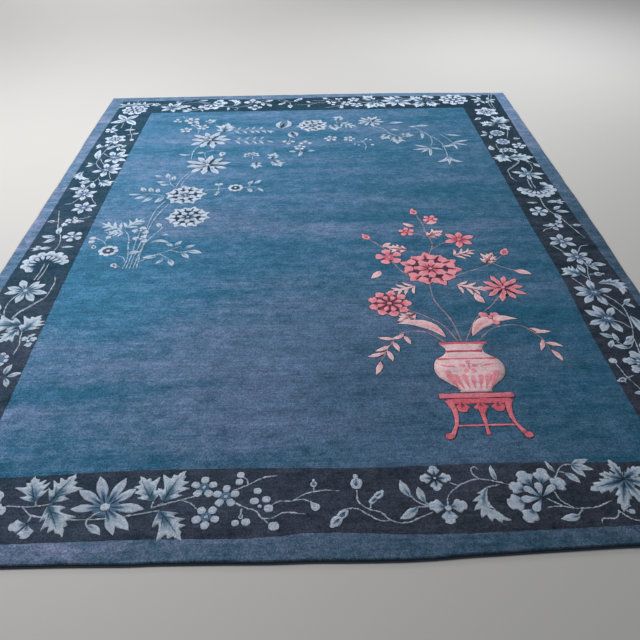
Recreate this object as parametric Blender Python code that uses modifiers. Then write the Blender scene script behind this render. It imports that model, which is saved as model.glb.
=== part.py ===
"""Large hand-knotted wool carpet lying flat, pile side up.

The carpet is a cotton foundation with a block of wool pile standing in it. The foundation runs out
past the pile at both ends as a narrow flat-woven web, and along both long sides a bundle of outer
warps is overcast into a round selvedge. The edges wander a little, as a carpet off the loom does.

Metres, +Z up, +Y towards the far end. The origin is on the floor under the middle of the carpet.
"""
import bmesh
import bpy
import numpy as np

# ---- driving dimensions -------------------------------------------------------------------------
CARPET_WIDTH = 2.740           # over both selvedges, before the edges wander
CARPET_LENGTH = 3.650          # over both end webs, before the edges wander
FOUNDATION_THICKNESS = 0.0035  # cotton warps and wefts
PILE_HEIGHT = 0.0090           # wool above the foundation
END_WEB_WIDTH = 0.009          # flat-woven web past the pile
PILE_STEP = 0.001              # the pile stands this far in from the foundation's long sides
PILE_EDGE_ROUND = 0.003        # the worn upper edge of the pile
PILE_EDGE_STEPS = 3
SELVEDGE_DIAMETER = 0.007      # overcast bundle of outer warps
SELVEDGE_GAP = 0.0003          # clearance between the selvedge and the foundation
SIDE_STATIONS = 44             # outline steps along each long side
END_STATIONS = 32              # outline steps along each end
RIPPLE_HEIGHT = 0.0012         # small waves of the edges
SIDE_RIPPLES = 9.0             # waves along a long side
END_RIPPLES = 7.0              # waves along an end
MM = 0.001

# How far the long sides stand out from their straight lines, from the near end (0) to the far end (1).
# columns: place along the length, left side mm, right side mm
SIDE_WANDER = (
    (0.00, -6.0, -16.0),
    (0.15, -2.0, -14.0),
    (0.35, 0.0, -11.0),
    (0.45, 1.0, -3.0),
    (0.55, -1.0, 3.0),
    (0.70, 0.0, 6.0),
    (0.88, 4.0, 9.0),
    (1.00, 1.0, 11.0),
)

# How far the ends stand out from their straight lines, from the left side (0) to the right side (1).
# columns: place across the width, near end mm, far end mm
END_WANDER = (
    (0.00, 2.0, 1.0),
    (0.25, 6.0, 4.0),
    (0.45, 11.0, 6.0),
    (0.62, 13.0, 7.0),
    (0.72, -1.0, 3.0),
    (0.82, -10.0, -8.0),
    (1.00, -24.0, -34.0),
)

# columns: red, green, blue, opacity
WOOL_BLUE = (0.100, 0.205, 0.320, 1.0)
YARN_CREAM = (0.560, 0.530, 0.500, 1.0)
WOOL_ROUGHNESS = 0.95
YARN_ROUGHNESS = 0.90


# ---- outline ------------------------------------------------------------------------------------
def through_table(place, column, table):
    """Smooth curve through one column of a table: between two rows the height follows a cubic whose
    slope at a row is that of the line through its two neighbours."""
    rows = np.array(table)
    x, y = rows[:, 0], rows[:, column] * MM
    slope = np.gradient(y, x)
    i = np.clip(np.searchsorted(x, place, side="right") - 1, 0, len(x) - 2)
    span = x[i + 1] - x[i]
    t = (place - x[i]) / span
    return (
        y[i] * (1 + 2 * t) * (1 - t) ** 2
        + slope[i] * span * t * (1 - t) ** 2
        + y[i + 1] * t * t * (3 - 2 * t)
        + slope[i + 1] * span * t * t * (t - 1)
    )


def ripple(place, waves, phase):
    """Two unlike sine waves added, which die out towards the corners."""
    fade = np.sin(np.pi * place)
    long_wave = np.sin(2 * np.pi * waves * place + phase)
    short_wave = 0.6 * np.sin(3.7 * np.pi * waves * place + 2 * phase)
    return RIPPLE_HEIGHT * fade * (long_wave + short_wave)


def foundation_edges():
    """The four edges of the foundation as arrays of points: near and far run from left to right, left
    and right from the near end to the far end. Opposite edges share the places of the stations."""
    along = np.linspace(0.0, 1.0, SIDE_STATIONS + 1)
    across = np.linspace(0.0, 1.0, END_STATIONS + 1)
    half_width = CARPET_WIDTH / 2 - SELVEDGE_DIAMETER - SELVEDGE_GAP
    half_length = CARPET_LENGTH / 2
    left_x = -half_width - through_table(along, 1, SIDE_WANDER) - ripple(along, SIDE_RIPPLES, 0.4)
    right_x = half_width + through_table(along, 2, SIDE_WANDER) + ripple(along, SIDE_RIPPLES, 1.9)
    near_y = -half_length - through_table(across, 1, END_WANDER) - ripple(across, END_RIPPLES, 0.9)
    far_y = half_length + through_table(across, 2, END_WANDER) + ripple(across, END_RIPPLES, 2.6)
    left_y = near_y[0] + along * (far_y[0] - near_y[0])
    right_y = near_y[-1] + along * (far_y[-1] - near_y[-1])
    near_x = left_x[0] + across * (right_x[0] - left_x[0])
    far_x = left_x[-1] + across * (right_x[-1] - left_x[-1])
    edges = {
        "left": np.column_stack((left_x, left_y)),
        "right": np.column_stack((right_x, right_y)),
        "near": np.column_stack((near_x, near_y)),
        "far": np.column_stack((far_x, far_y)),
    }
    lowest = np.array((left_x.min(), near_y.min()))
    highest = np.array((right_x.max(), far_y.max()))
    middle = (lowest + highest) / 2
    return {name: points - middle for name, points in edges.items()}


def closed_outline(edges, side_inset, end_inset):
    """One closed loop, anticlockwise from the near left corner, moved in from the four edges."""
    near = edges["near"] + (0.0, end_inset)
    far = edges["far"] - (0.0, end_inset)
    left = edges["left"] + (side_inset, 0.0)
    right = edges["right"] - (side_inset, 0.0)
    near[0, 0], near[-1, 0] = left[0, 0], right[0, 0]
    far[0, 0], far[-1, 0] = left[-1, 0], right[-1, 0]
    return np.vstack((near, right[1:-1], far[::-1], left[-2:0:-1]))


# ---- modelling ----------------------------------------------------------------------------------
def finish(name, colour, roughness):
    """A plain wool or cotton material in the colour of its piece."""
    material = bpy.data.materials.new(name)
    material.use_nodes = True
    shader = material.node_tree.nodes["Principled BSDF"]
    shader.inputs["Base Color"].default_value = colour
    shader.inputs["Roughness"].default_value = roughness
    shader.inputs["Metallic"].default_value = 0.0
    material.diffuse_color = colour
    return material


def add_spline(curve, points, height):
    """A polyline through flat points, all at one height. The fourth value is each point's weight."""
    spline = curve.splines.new("POLY")
    spline.points.add(len(points) - 1)
    heights = np.full(len(points), height)
    spline.points.foreach_set("co", np.column_stack((points, heights, np.ones(len(points)))).ravel())
    return spline


def slab(name, outline, bottom, top, collection):
    """A flat outline made as thick as bottom to top: a filled 2D curve, extruded, as one closed mesh."""
    curve = bpy.data.curves.new(name + "_outline", "CURVE")
    curve.dimensions = "2D"
    curve.fill_mode = "BOTH"
    curve.extrude = (top - bottom) / 2
    add_spline(curve, outline, 0.0).use_cyclic_u = True
    flat = bpy.data.objects.new(name + "_curve", curve)
    flat.location.z = (bottom + top) / 2
    collection.objects.link(flat)
    bpy.context.view_layer.update()
    evaluated = flat.evaluated_get(bpy.context.evaluated_depsgraph_get())
    mesh = bpy.data.meshes.new_from_object(evaluated)
    mesh.name = name
    solid = bpy.data.objects.new(name, mesh)
    collection.objects.link(solid)
    solid.matrix_world = flat.matrix_world
    bpy.data.objects.remove(flat, do_unlink=True)
    cage = bmesh.new()
    cage.from_mesh(mesh)
    bmesh.ops.remove_doubles(cage, verts=cage.verts, dist=0.00001)
    bmesh.ops.recalc_face_normals(cage, faces=cage.faces)
    inner = [edge for edge in cage.edges if all(abs(face.normal.z) > 0.5 for face in edge.link_faces)]
    bmesh.ops.dissolve_edges(cage, edges=inner)
    cage.to_mesh(mesh)
    cage.free()
    return solid


def round_upper_edge(solid, width, steps):
    """Bevel on the rim of the upper face alone."""
    mesh = solid.data
    cage = bmesh.new()
    cage.from_mesh(mesh)
    weight = cage.edges.layers.float.new("bevel_weight_edge")
    for edge in cage.edges:
        edge[weight] = float(all(vert.co.z > 0 for vert in edge.verts))
    cage.to_mesh(mesh)
    cage.free()
    bevel = solid.modifiers.new("worn_edge", "BEVEL")
    bevel.limit_method = "WEIGHT"
    bevel.width = width
    bevel.segments = steps


def carpet(edges, collection, cutters):
    """The foundation, out to the ends of the webs, joined with the block of pile that stands in it."""
    foundation = slab("carpet", closed_outline(edges, 0.0, 0.0), 0.0, FOUNDATION_THICKNESS, collection)
    top = FOUNDATION_THICKNESS + PILE_HEIGHT
    root = FOUNDATION_THICKNESS / 2
    pile_outline = closed_outline(edges, PILE_STEP, END_WEB_WIDTH)
    pile = slab("pile_block", pile_outline, root, top, cutters)
    round_upper_edge(pile, PILE_EDGE_ROUND, PILE_EDGE_STEPS)
    pile.hide_render = True
    pile.display_type = "WIRE"
    join = foundation.modifiers.new("knotted_pile", "BOOLEAN")
    join.operation = "UNION"
    join.solver = "EXACT"
    join.object = pile
    foundation.data.materials.clear()
    foundation.data.materials.append(finish("carpet_wool", WOOL_BLUE, WOOL_ROUGHNESS))
    return foundation


def selvedge(name, edge, outward, collection, material):
    """Round overcast cord beside one long side, a hair away from it, resting on the floor."""
    radius = SELVEDGE_DIAMETER / 2
    route = edge + (outward * (SELVEDGE_GAP + radius), 0.0)
    curve = bpy.data.curves.new(name, "CURVE")
    curve.dimensions = "3D"
    curve.bevel_depth = radius
    curve.bevel_resolution = 2
    curve.use_fill_caps = True
    add_spline(curve, route, radius)
    curve.materials.append(material)
    cord = bpy.data.objects.new(name, curve)
    collection.objects.link(cord)
    return cord


for old in list(bpy.data.objects):
    bpy.data.objects.remove(old, do_unlink=True)

parts = bpy.data.collections.new("chinese_art_deco_rug")
helpers = bpy.data.collections.new("cutters")
bpy.context.scene.collection.children.link(parts)
bpy.context.scene.collection.children.link(helpers)

carpet_edges = foundation_edges()
carpet(carpet_edges, parts, helpers)
overcast_yarn = finish("selvedge_yarn", YARN_CREAM, YARN_ROUGHNESS)
selvedge("selvedge_left", carpet_edges["left"], -1.0, parts, overcast_yarn)
selvedge("selvedge_right", carpet_edges["right"], 1.0, parts, overcast_yarn)
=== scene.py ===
"""Looks of a large hand-knotted Chinese art deco carpet that lies flat with its pile up.

Metres, +Z up, +Y towards the far end, and the origin on the floor under the middle of the carpet.
The sections below follow the carpet as it is made: the cotton foundation, the wool pile knotted in
it, the overcast sides, and then the flowers that are knotted into the band and the field.
"""

import bpy
import numpy as np
from mathutils import Matrix, Vector


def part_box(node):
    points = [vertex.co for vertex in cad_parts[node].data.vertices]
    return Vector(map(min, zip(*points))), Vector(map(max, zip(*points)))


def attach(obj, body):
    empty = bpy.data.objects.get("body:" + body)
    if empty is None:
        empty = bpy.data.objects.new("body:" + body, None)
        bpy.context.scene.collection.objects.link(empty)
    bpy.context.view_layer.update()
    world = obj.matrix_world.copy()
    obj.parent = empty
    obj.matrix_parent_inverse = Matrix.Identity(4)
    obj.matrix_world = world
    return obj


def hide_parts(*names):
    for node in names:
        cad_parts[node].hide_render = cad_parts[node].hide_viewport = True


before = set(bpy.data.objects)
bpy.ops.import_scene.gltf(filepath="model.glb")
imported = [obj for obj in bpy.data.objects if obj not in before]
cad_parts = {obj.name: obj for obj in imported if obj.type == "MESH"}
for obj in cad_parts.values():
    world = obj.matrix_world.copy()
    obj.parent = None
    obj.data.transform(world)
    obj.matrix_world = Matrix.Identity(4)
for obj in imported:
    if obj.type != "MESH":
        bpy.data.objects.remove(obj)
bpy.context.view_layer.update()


# ---- the room: camera, floor and light ----------------------------------------------------------
# The camera stands just past the near end at eye height and looks down the carpet with a fairly wide
# lens. The floor is plain and pale. Broad soft lamps hang high at the left, lower past the far right
# corner and far behind over the floor, and the room's own light fills in.

EYE = (0.0001, -2.8461, 1.6099)
LOOK_DOWN = np.radians(37.666)
LOOK_LEFT = np.radians(-0.745)
HEAD_TILT = np.radians(-0.810)
LENS_MM = 37.306
SENSOR_MM = 36.0

lens = bpy.data.cameras.new("camera")
lens.sensor_fit = "HORIZONTAL"
lens.sensor_width = SENSOR_MM
lens.lens = LENS_MM
camera = bpy.data.objects.new("camera", lens)
bpy.context.scene.collection.objects.link(camera)
aim = Matrix.Rotation(LOOK_LEFT, 4, "Z") @ Matrix.Rotation(np.pi / 2 - LOOK_DOWN, 4, "X")
camera.matrix_world = Matrix.Translation(EYE) @ aim @ Matrix.Rotation(HEAD_TILT, 4, "Z")
bpy.context.scene.camera = camera
bpy.context.scene.view_settings.view_transform = "Standard"

FLOOR_HALF = 9.0
FLOOR_DROP = 0.0004  # the floor lies this far below the carpet's underside
FLOOR_PALE = (0.66, 0.65, 0.63, 1.0)
FLOOR_SHADE = (0.62, 0.61, 0.60, 1.0)
FLOOR_ROUGHNESS = 0.6
FLOOR_CLOUDS = (0.8, 0.8, 0.8)  # soft patches a metre, along x, y and z


def plain_material(name, values):
    """A new material with plain values set on its shader. It gives the material, its tree and the
    shader."""
    material = bpy.data.materials.new(name)
    material.use_nodes = True
    shader = material.node_tree.nodes["Principled BSDF"]
    for socket, value in values.items():
        shader.inputs[socket].default_value = value
    return material, material.node_tree, shader


def placed(tree, kind, values, **settings):
    """The outputs of a new node with its settings made and its inputs filled: linked where the value
    is a socket, and set where it is plain."""
    node = tree.nodes.new(kind)
    for name, value in settings.items():
        setattr(node, name, value)
    for name, value in values.items():
        if isinstance(value, bpy.types.NodeSocket):
            tree.links.new(value, node.inputs[name])
        else:
            node.inputs[name].default_value = value
    return node.outputs


def mapped(tree, kind, **values):
    """The places on the carpet in metres (Object coordinates), through a Mapping node of a kind."""
    where = placed(tree, "ShaderNodeTexCoord", {})["Object"]
    return placed(tree, "ShaderNodeMapping", {"Vector": where, **values}, vector_type=kind)["Vector"]


def noise_at(tree, stretch, detail, roughness=0.5):
    """A noise node in Object coordinates, stretched: so many grains a metre along x, y and z."""
    values = {"Scale": 1.0, "Detail": detail, "Roughness": roughness}
    grains = mapped(tree, "POINT", Scale=stretch)
    return placed(tree, "ShaderNodeTexNoise", {"Vector": grains, **values})["Fac"]


def mixed(tree, share, first, second):
    """A colour Mix node. The share is a socket, and each colour is a socket or a plain colour."""
    values = {"Factor": share, "A": first, "B": second}
    return placed(tree, "ShaderNodeMix", values, data_type="RGBA")["Result"]


floor_mesh = bpy.data.meshes.new("floor")
floor_corners = np.array([(-1, -1), (1, -1), (1, 1), (-1, 1)]) * FLOOR_HALF
floor_mesh.from_pydata(np.column_stack((floor_corners, np.full(4, -FLOOR_DROP))), [], [(0, 1, 2, 3)])
floor = bpy.data.objects.new("floor", floor_mesh)
bpy.context.scene.collection.objects.link(floor)
floor_paint, tree, shader = plain_material("pale_floor", {"Roughness": FLOOR_ROUGHNESS})
floor_colour = mixed(tree, noise_at(tree, FLOOR_CLOUDS, 3.0), FLOOR_SHADE, FLOOR_PALE)
tree.links.new(floor_colour, shader.inputs["Base Color"])
floor.data.materials.append(floor_paint)

# columns: name, place, point it shines at, size in metres, power in watts, colour
LAMPS = (
    ("left_lamp", (-2.2, 0.8, 3.6), (-2.1, 0.8, 0.0), 2.4, 146.0, (1.0, 0.99, 0.98)),
    ("right_lamp", (1.9, 2.7, 2.4), (1.8, 2.6, 0.0), 1.8, 52.0, (0.96, 0.98, 1.0)),
    ("back_lamp", (-2.5, 7.0, 3.8), (-2.5, 7.2, 0.0), 3.0, 150.0, (1.0, 1.0, 1.0)),
)
ROOM_LIGHT = 0.16
ROOM_TINT = (0.93, 0.96, 1.0, 1.0)

for name, lamp_place, lamp_aim, lamp_size, power, tint in LAMPS:
    lamp = bpy.data.lights.new(name, "AREA")
    lamp.shape = "SQUARE"
    lamp.size = lamp_size
    lamp.energy = power
    lamp.color = tint
    stand = bpy.data.objects.new(name, lamp)
    stand.location = lamp_place
    stand.visible_camera = False
    stand.rotation_euler = (Vector(lamp_aim) - Vector(lamp_place)).to_track_quat("-Z", "Y").to_euler()
    bpy.context.scene.collection.objects.link(stand)
room = bpy.data.worlds.new("room")
room.use_nodes = True
room.node_tree.nodes["Background"].inputs["Color"].default_value = ROOM_TINT
room.node_tree.nodes["Background"].inputs["Strength"].default_value = ROOM_LIGHT
bpy.context.scene.world = room


# ---- the cotton foundation ----------------------------------------------------------------------
# Cotton warps and wefts, 3.5 mm thick, in the uneven outline that the carpet took on the loom. It
# shows as a narrow flat-woven web past the pile at both ends. Below it shows as the backs of the
# knots, blue with pale weft lines between the rows.

MM = 0.001
FOUNDATION_TOP = 0.0035
WEB_WIDTH = 0.009
CUT_SIZE = (2.74, 3.65)
WEB_RIDGES = 5             # weft ridges in the web
STEPS_PER_RIDGE = 6
WEB_RIDGE_HEIGHT = 0.0006
FOUNDATION_PITCH = 0.042   # net spacing under the pile, where it doesn't show
ON_THE_RIM = 0.965         # a corner that reaches this share of the furthest one's way is on the rim
WARPS_PER_METRE = 295.0
WEFT_ROWS_PER_METRE = 295.0
WEAVE_DEPTH = 0.0008
SOIL_SPOTS = (9.0, 14.0, 9.0)   # grains a metre along x, y and z
SOIL_TO_NEAR_END = -0.19   # how much more soiled the cotton gets with each metre towards the near end
SOIL_RANGE = (0.25, 0.70)  # the soil where the cotton begins to grey, and where it is quite grey
COTTON_CLEAN = (0.55, 0.53, 0.52, 1.0)
COTTON_SOILED = (0.085, 0.105, 0.135, 1.0)
KNOT_BACK = (0.055, 0.115, 0.185, 1.0)
KNOT_BACK_PALE = (0.13, 0.20, 0.27, 1.0)


def rim_line(corners, across, along, side):
    """One edge of the outline as a function of the place along it. Corners that reach nearly as far
    out as the furthest one belong to that edge, and it runs straight from one to the next."""
    reach = side * corners[:, across]
    rim = corners[reach > ON_THE_RIM * reach.max()]
    rim = rim[np.argsort(rim[:, along])]
    return lambda place: np.interp(place, rim[:, along], rim[:, across])


def moved_in(lines, sides, ends):
    """The same four lines (left, right, near, far), moved in by sides and ends metres."""
    left, right, near, far = lines
    return (
        lambda y: left(y) + sides,
        lambda y: right(y) - sides,
        lambda x: near(x) + ends,
        lambda x: far(x) - ends,
    )


def net_between(lines, across, along):
    """A net of points between four lines. A point stands at its share across of the way from the
    left line to the right one, and at its share along of the way from the near line to the far one.
    The lines are read at the place that the shares give between the lines' middles."""
    left, right, near, far = lines
    plain_x = left(0.0) + (right(0.0) - left(0.0)) * across[None, :]
    plain_y = near(0.0) + (far(0.0) - near(0.0)) * along[:, None]
    x = left(plain_y) + (right(plain_y) - left(plain_y)) * across[None, :]
    y = near(plain_x) + (far(plain_x) - near(plain_x)) * along[:, None]
    return np.stack(np.broadcast_arrays(x, y), -1)


def quads_of(shape, endless, first):
    """Corner numbers of the faces of copies of a row of closed sections: quads between neighbouring
    sections, all the way round, and unless the row is endless a ladder of quads over each end."""
    copies, length, around = shape
    number = first + np.arange(copies * length * around).reshape(copies, length, around)
    here = number if endless else number[:, :-1]
    there = np.roll(number, -1, 1) if endless else number[:, 1:]
    sides = np.stack((here, there, np.roll(there, -1, 2), np.roll(here, -1, 2)), -1).reshape(-1, 4)
    if endless:
        return sides
    rung = np.arange(around // 2 - 1)
    ladder = np.stack((rung, rung + 1, around - 2 - rung, around - 1 - rung), -1)
    start = number[:, 0][:, ladder].reshape(-1, 4)
    finish = number[:, -1][:, ladder[:, ::-1]].reshape(-1, 4)
    return np.concatenate((sides, start, finish))


def piece_from(name, nets, material):
    """One mesh object from a list of nets (points, mark, endless). Points has the shape (copies,
    sections, places round a section, 3), and each section runs from the right over the top to the
    left and back below. Mark is one number for each point, kept as the attribute mark."""
    points, marks, faces, first = [], [], [], 0
    for sections, mark, endless in nets:
        points.append(sections.reshape(-1, 3))
        marks.append(np.broadcast_to(mark, sections.shape[:-1]).ravel())
        faces.append(quads_of(sections.shape[:-1], endless, first))
        first += len(points[-1])
    points, marks, faces = np.concatenate(points), np.concatenate(marks), np.concatenate(faces)
    mesh = bpy.data.meshes.new(name)
    mesh.vertices.add(len(points))
    mesh.vertices.foreach_set("co", points.ravel())
    mesh.loops.add(faces.size)
    mesh.loops.foreach_set("vertex_index", faces.ravel().astype(np.int32))
    mesh.polygons.add(len(faces))
    mesh.polygons.foreach_set("loop_start", np.arange(0, faces.size, 4, dtype=np.int32))
    mesh.update(calc_edges=True)
    mesh.attributes.new("mark", "FLOAT", "POINT").data.foreach_set("value", marks.astype(np.float32))
    mesh.shade_smooth()
    mesh.materials.append(material)
    piece = bpy.data.objects.new(name, mesh)
    bpy.context.scene.collection.objects.link(piece)
    return piece


def worked(tree, operation, *values):
    """A Math node. Values are sockets or plain numbers."""
    return placed(tree, "ShaderNodeMath", dict(enumerate(values)), operation=operation)["Value"]


def eased(tree, value, low, high):
    """0 below low, 1 above high, smooth between them."""
    values = {"Value": value, "From Min": low, "From Max": high}
    return placed(tree, "ShaderNodeMapRange", values, interpolation_type="SMOOTHSTEP")["Result"]


def bumped(tree, shader, height, distance):
    """A Bump node from a height socket into the shader's Normal."""
    values = {"Height": height, "Distance": distance, "Strength": 1.0}
    tree.links.new(placed(tree, "ShaderNodeBump", values)["Normal"], shader.inputs["Normal"])


def mark_of(tree):
    """The mark that a piece's net gives each point."""
    return placed(tree, "ShaderNodeAttribute", {}, attribute_name="mark")["Fac"]


def place_along(tree, axis):
    """The place along one axis, in metres from the middle of the carpet."""
    where = placed(tree, "ShaderNodeTexCoord", {})["Object"]
    return placed(tree, "ShaderNodeSeparateXYZ", {"Vector": where})[axis]


def sloped(tree, patches, slope):
    """Patches plus slope times the place along the carpet in metres."""
    return worked(tree, "MULTIPLY_ADD", place_along(tree, "Y"), slope, patches)


cotton, tree, shader = plain_material("web_cotton", {"Roughness": 0.92, "Specular IOR Level": 0.2})
# The height of the threads is the product of a sine across the warps and one across the wefts.
waves = [
    worked(tree, "SINE", worked(tree, "MULTIPLY", place_along(tree, axis), 2 * np.pi * count))
    for axis, count in (("X", WARPS_PER_METRE), ("Y", WEFT_ROWS_PER_METRE))
]
thread = worked(tree, "MULTIPLY_ADD", worked(tree, "MULTIPLY", *waves), 0.5, 0.5)
soil = sloped(tree, noise_at(tree, SOIL_SPOTS, 4.0, 0.6), SOIL_TO_NEAR_END)
web_colour = mixed(tree, eased(tree, soil, *SOIL_RANGE), COTTON_CLEAN, COTTON_SOILED)
back_colour = mixed(tree, thread, KNOT_BACK, KNOT_BACK_PALE)
tree.links.new(mixed(tree, mark_of(tree), web_colour, back_colour), shader.inputs["Base Color"])
bumped(tree, shader, thread, WEAVE_DEPTH)

carpet_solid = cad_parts["carpet"].data.vertices
corners = np.empty(3 * len(carpet_solid))
carpet_solid.foreach_get("co", corners)
corners = corners.reshape(-1, 3)
corners = corners[corners[:, 2] < 0.1 * MM]
outline = [rim_line(corners, axis, 1 - axis, side) for axis in (0, 1) for side in (-1, 1)]
far_length = outline[3](0.0) - outline[2](0.0)

# Net places along the carpet: close together over the two webs, for their ridges, and wide between.
web_place = np.linspace(0.0, WEB_WIDTH + 2 * MM, STEPS_PER_RIDGE * WEB_RIDGES + 1)
middle_place = np.arange(web_place[-1], far_length - web_place[-1], FOUNDATION_PITCH)[1:]
along = np.concatenate((web_place, middle_place, far_length - web_place[::-1])) / far_length
across = np.linspace(1.0, 0.0, int(CUT_SIZE[0] / FOUNDATION_PITCH) + 1)
flat_net = net_between(outline, across, along)
to_end = np.minimum(along, 1.0 - along) * far_length
ridge = np.abs(np.sin(np.pi * WEB_RIDGES * to_end / WEB_WIDTH)) - 1.0
web_top = FOUNDATION_TOP + WEB_RIDGE_HEIGHT * ridge * (to_end < WEB_WIDTH)
upper = np.concatenate((flat_net, np.broadcast_to(web_top[:, None, None], flat_net.shape[:2] + (1,))), -1)
lower = np.concatenate((flat_net, np.zeros(flat_net.shape[:2] + (1,))), -1)[:, ::-1]
is_back = np.concatenate((np.zeros(len(across)), np.ones(len(across))))
foundation = piece_from(
    "foundation", [(np.concatenate((upper, lower), 1)[None], is_back, False)], cotton
)
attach(foundation, "root")
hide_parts("carpet")


# ---- the wool pile ------------------------------------------------------------------------------
# Hand-knotted wool, about ninety knots to the foot each way and 9 mm high, worn to a soft rounded
# edge. Three colours meet along knotted lines: the plain blue guard strip outside, the dark band
# and the blue field. The dyed wool changes tone in streaks and bars along the weft rows.

PILE_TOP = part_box("carpet")[1].z
PILE_ROOT = FOUNDATION_TOP - 1.0 * MM
PILE_INSET = 0.001
END_OVERHANG = 0.003     # the outermost tufts lean this far out over the web
OUTER_ROUND = 0.0030     # worn upper edge round the outside
INNER_ROUND = 0.0007     # where two colours meet
ROUND_STEPS = 3
GUARD_STEPS = 6          # net steps across the guard strip
BAND_STEPS = 8           # and across the band
FIELD_PITCH = 0.020      # net spacing of the field
SIDE_STATIONS = 560
END_STATIONS = 420
STRAIGHT_HALF = (1.370, 1.8236)   # half sizes of the straight-lined carpet that the pattern is drawn on
DRAWN_MIDDLE = (-0.003, 0.003)    # where the middle of that drawing lies
TUFT_BULGE = 0.0005

# columns: place along the line in m, distance in from the straight edge in mm
BAND_LEFT = ((-1.80, 60), (-0.48, 59), (-0.02, 66), (1.00, 72), (1.72, 92), (1.80, 94))
BAND_RIGHT = ((-1.80, 56), (-0.71, 55), (-0.10, 71), (0.75, 80), (1.75, 67), (1.80, 67))
BAND_NEAR = (
    (-1.35, 62), (-0.86, 63), (-0.46, 67), (-0.15, 64), (-0.05, 73), (0.29, 61), (0.90, 73), (1.35, 80),
)
BAND_FAR = (
    (-1.35, 72), (-1.00, 72), (-0.65, 60), (-0.40, 79), (-0.20, 77), (0.05, 63), (0.30, 60), (0.55, 64),
    (0.75, 73), (0.95, 78), (1.35, 72),
)
FIELD_LEFT = (
    (-1.60, 330), (-1.29, 327), (-0.80, 314), (-0.46, 309), (-0.03, 306), (1.00, 315), (1.51, 325),
)
FIELD_RIGHT = (
    (-1.60, 302), (-1.35, 303), (-0.88, 309), (-0.54, 301), (-0.12, 311), (0.54, 316), (0.76, 320),
    (1.51, 329),
)
FIELD_NEAR = (
    (-1.10, 293), (-0.96, 295), (-0.63, 309), (-0.16, 307), (0.20, 299), (0.47, 306), (1.00, 296),
    (1.10, 295),
)
FIELD_FAR = ((-1.10, 304), (0.00, 306), (1.10, 310))

# columns: waves a metre across, waves a metre along, phase, height in mm
UNEVEN_CLIP = (
    (0.9, 0.35, 0.4, 0.22), (0.4, 1.3, 2.0, 0.20), (1.9, 1.1, 4.1, 0.10), (-1.4, 2.3, 1.3, 0.08),
)
# The steps where the knotter lost a border's line. Columns: turn in radians a metre, height in mm.
LOST_LINE = ((61.0, 0.7), (143.0, 0.5))


def through(rows, place):
    """A smooth line through short rows of (place, value): between two rows a cubic whose slope at a
    row is that of the line through its neighbours."""
    x, y = np.array(rows, float).T
    slope = np.gradient(y, x)
    i = np.clip(np.searchsorted(x, place, side="right") - 1, 0, len(x) - 2)
    span = x[i + 1] - x[i]
    t = np.clip((place - x[i]) / span, 0.0, 1.0)
    start = y[i] * (1 + 2 * t) * (1 - t) ** 2 + slope[i] * span * t * (1 - t) ** 2
    return start + y[i + 1] * t * t * (3 - 2 * t) + slope[i + 1] * span * t * t * (t - 1)


def knotted_line(rows, axis, side):
    """A colour's border as a function of the place along it: the straight edge less the distance in
    the table, with small steps of a few knots where the knotter lost the line."""
    def line(place):
        drawn = place - DRAWN_MIDDLE[1 - axis]
        (long_turn, long_step), (short_turn, short_step) = LOST_LINE
        steps = long_step * np.sin(long_turn * drawn + 2.0 * side)
        steps = steps + short_step * np.sin(short_turn * drawn + axis)
        return DRAWN_MIDDLE[axis] + side * (STRAIGHT_HALF[axis] - (through(rows, drawn) + steps) * MM)
    return line


def knotted_lines(*borders):
    """The four borders of one colour: left, right, near and far."""
    sides = ((0, -1), (0, 1), (1, -1), (1, 1))
    return [knotted_line(rows, axis, side) for rows, (axis, side) in zip(borders, sides)]


def loop_of(lines):
    """The closed line of stations along four lines, anticlockwise from the near left corner."""
    across = np.linspace(0.0, 1.0, END_STATIONS + 1)
    along = np.linspace(0.0, 1.0, SIDE_STATIONS + 1)
    edge = np.array((0.0, 1.0))
    ends = net_between(lines, across, edge)
    sides = net_between(lines, edge, along)
    return np.concatenate((ends[0, :-1], sides[:-1, 1], ends[1, :0:-1], sides[:0:-1, 0]))


def uneven(flat):
    """How far the clipped pile stands above or below its mean height: crossing sine waves."""
    rise = np.zeros(flat.shape[:-1])
    for across, along, phase, height in UNEVEN_CLIP:
        rise += height * MM * np.sin(2 * np.pi * (across * flat[..., 0] + along * flat[..., 1]) + phase)
    return rise


def rounded_rim(radius):
    """Distance in from the edge and height below the top, over a quarter circle, edge first."""
    turn = np.linspace(0.0, np.pi / 2, ROUND_STEPS + 1)
    return radius * (1 - np.cos(turn)), radius * (1 - np.sin(turn))


def pile_ring(outer, inner, outer_round, inner_round, steps, bulge):
    """Sections of a closed strip of pile between two loops: up from the root at the outer loop, over
    its rounded edge, across in even steps, and over the rounded edge at the inner loop down to the
    root. Bulge pushes the tufts on the outer side out by a different length at each station."""
    out_in, out_drop = rounded_rim(outer_round)
    in_in, in_drop = rounded_rim(inner_round)
    between = np.arange(1, steps) / steps
    share = np.concatenate((np.zeros(ROUND_STEPS + 2), between, np.ones(ROUND_STEPS + 2)))
    aside = np.concatenate(([0.0], out_in, np.zeros(steps - 1), -in_in[::-1], [0.0]))
    depth = PILE_TOP - PILE_ROOT
    drop = np.concatenate(([depth], out_drop, np.zeros(steps - 1), in_drop[::-1], [depth]))
    width = np.linalg.norm(inner - outer, axis=1)[:, None]
    way = (inner - outer) / width
    bulging = np.sin(np.pi * np.minimum(drop / OUTER_ROUND, 1.0)) * (share == 0)
    reach = aside + share * width - bulge[:, None] * bulging
    flat = outer[:, None] + way[:, None] * reach[..., None]
    height = PILE_TOP - drop + uneven(flat) * (1 - drop / depth)
    return np.concatenate((flat, height[..., None]), -1)[None]


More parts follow.
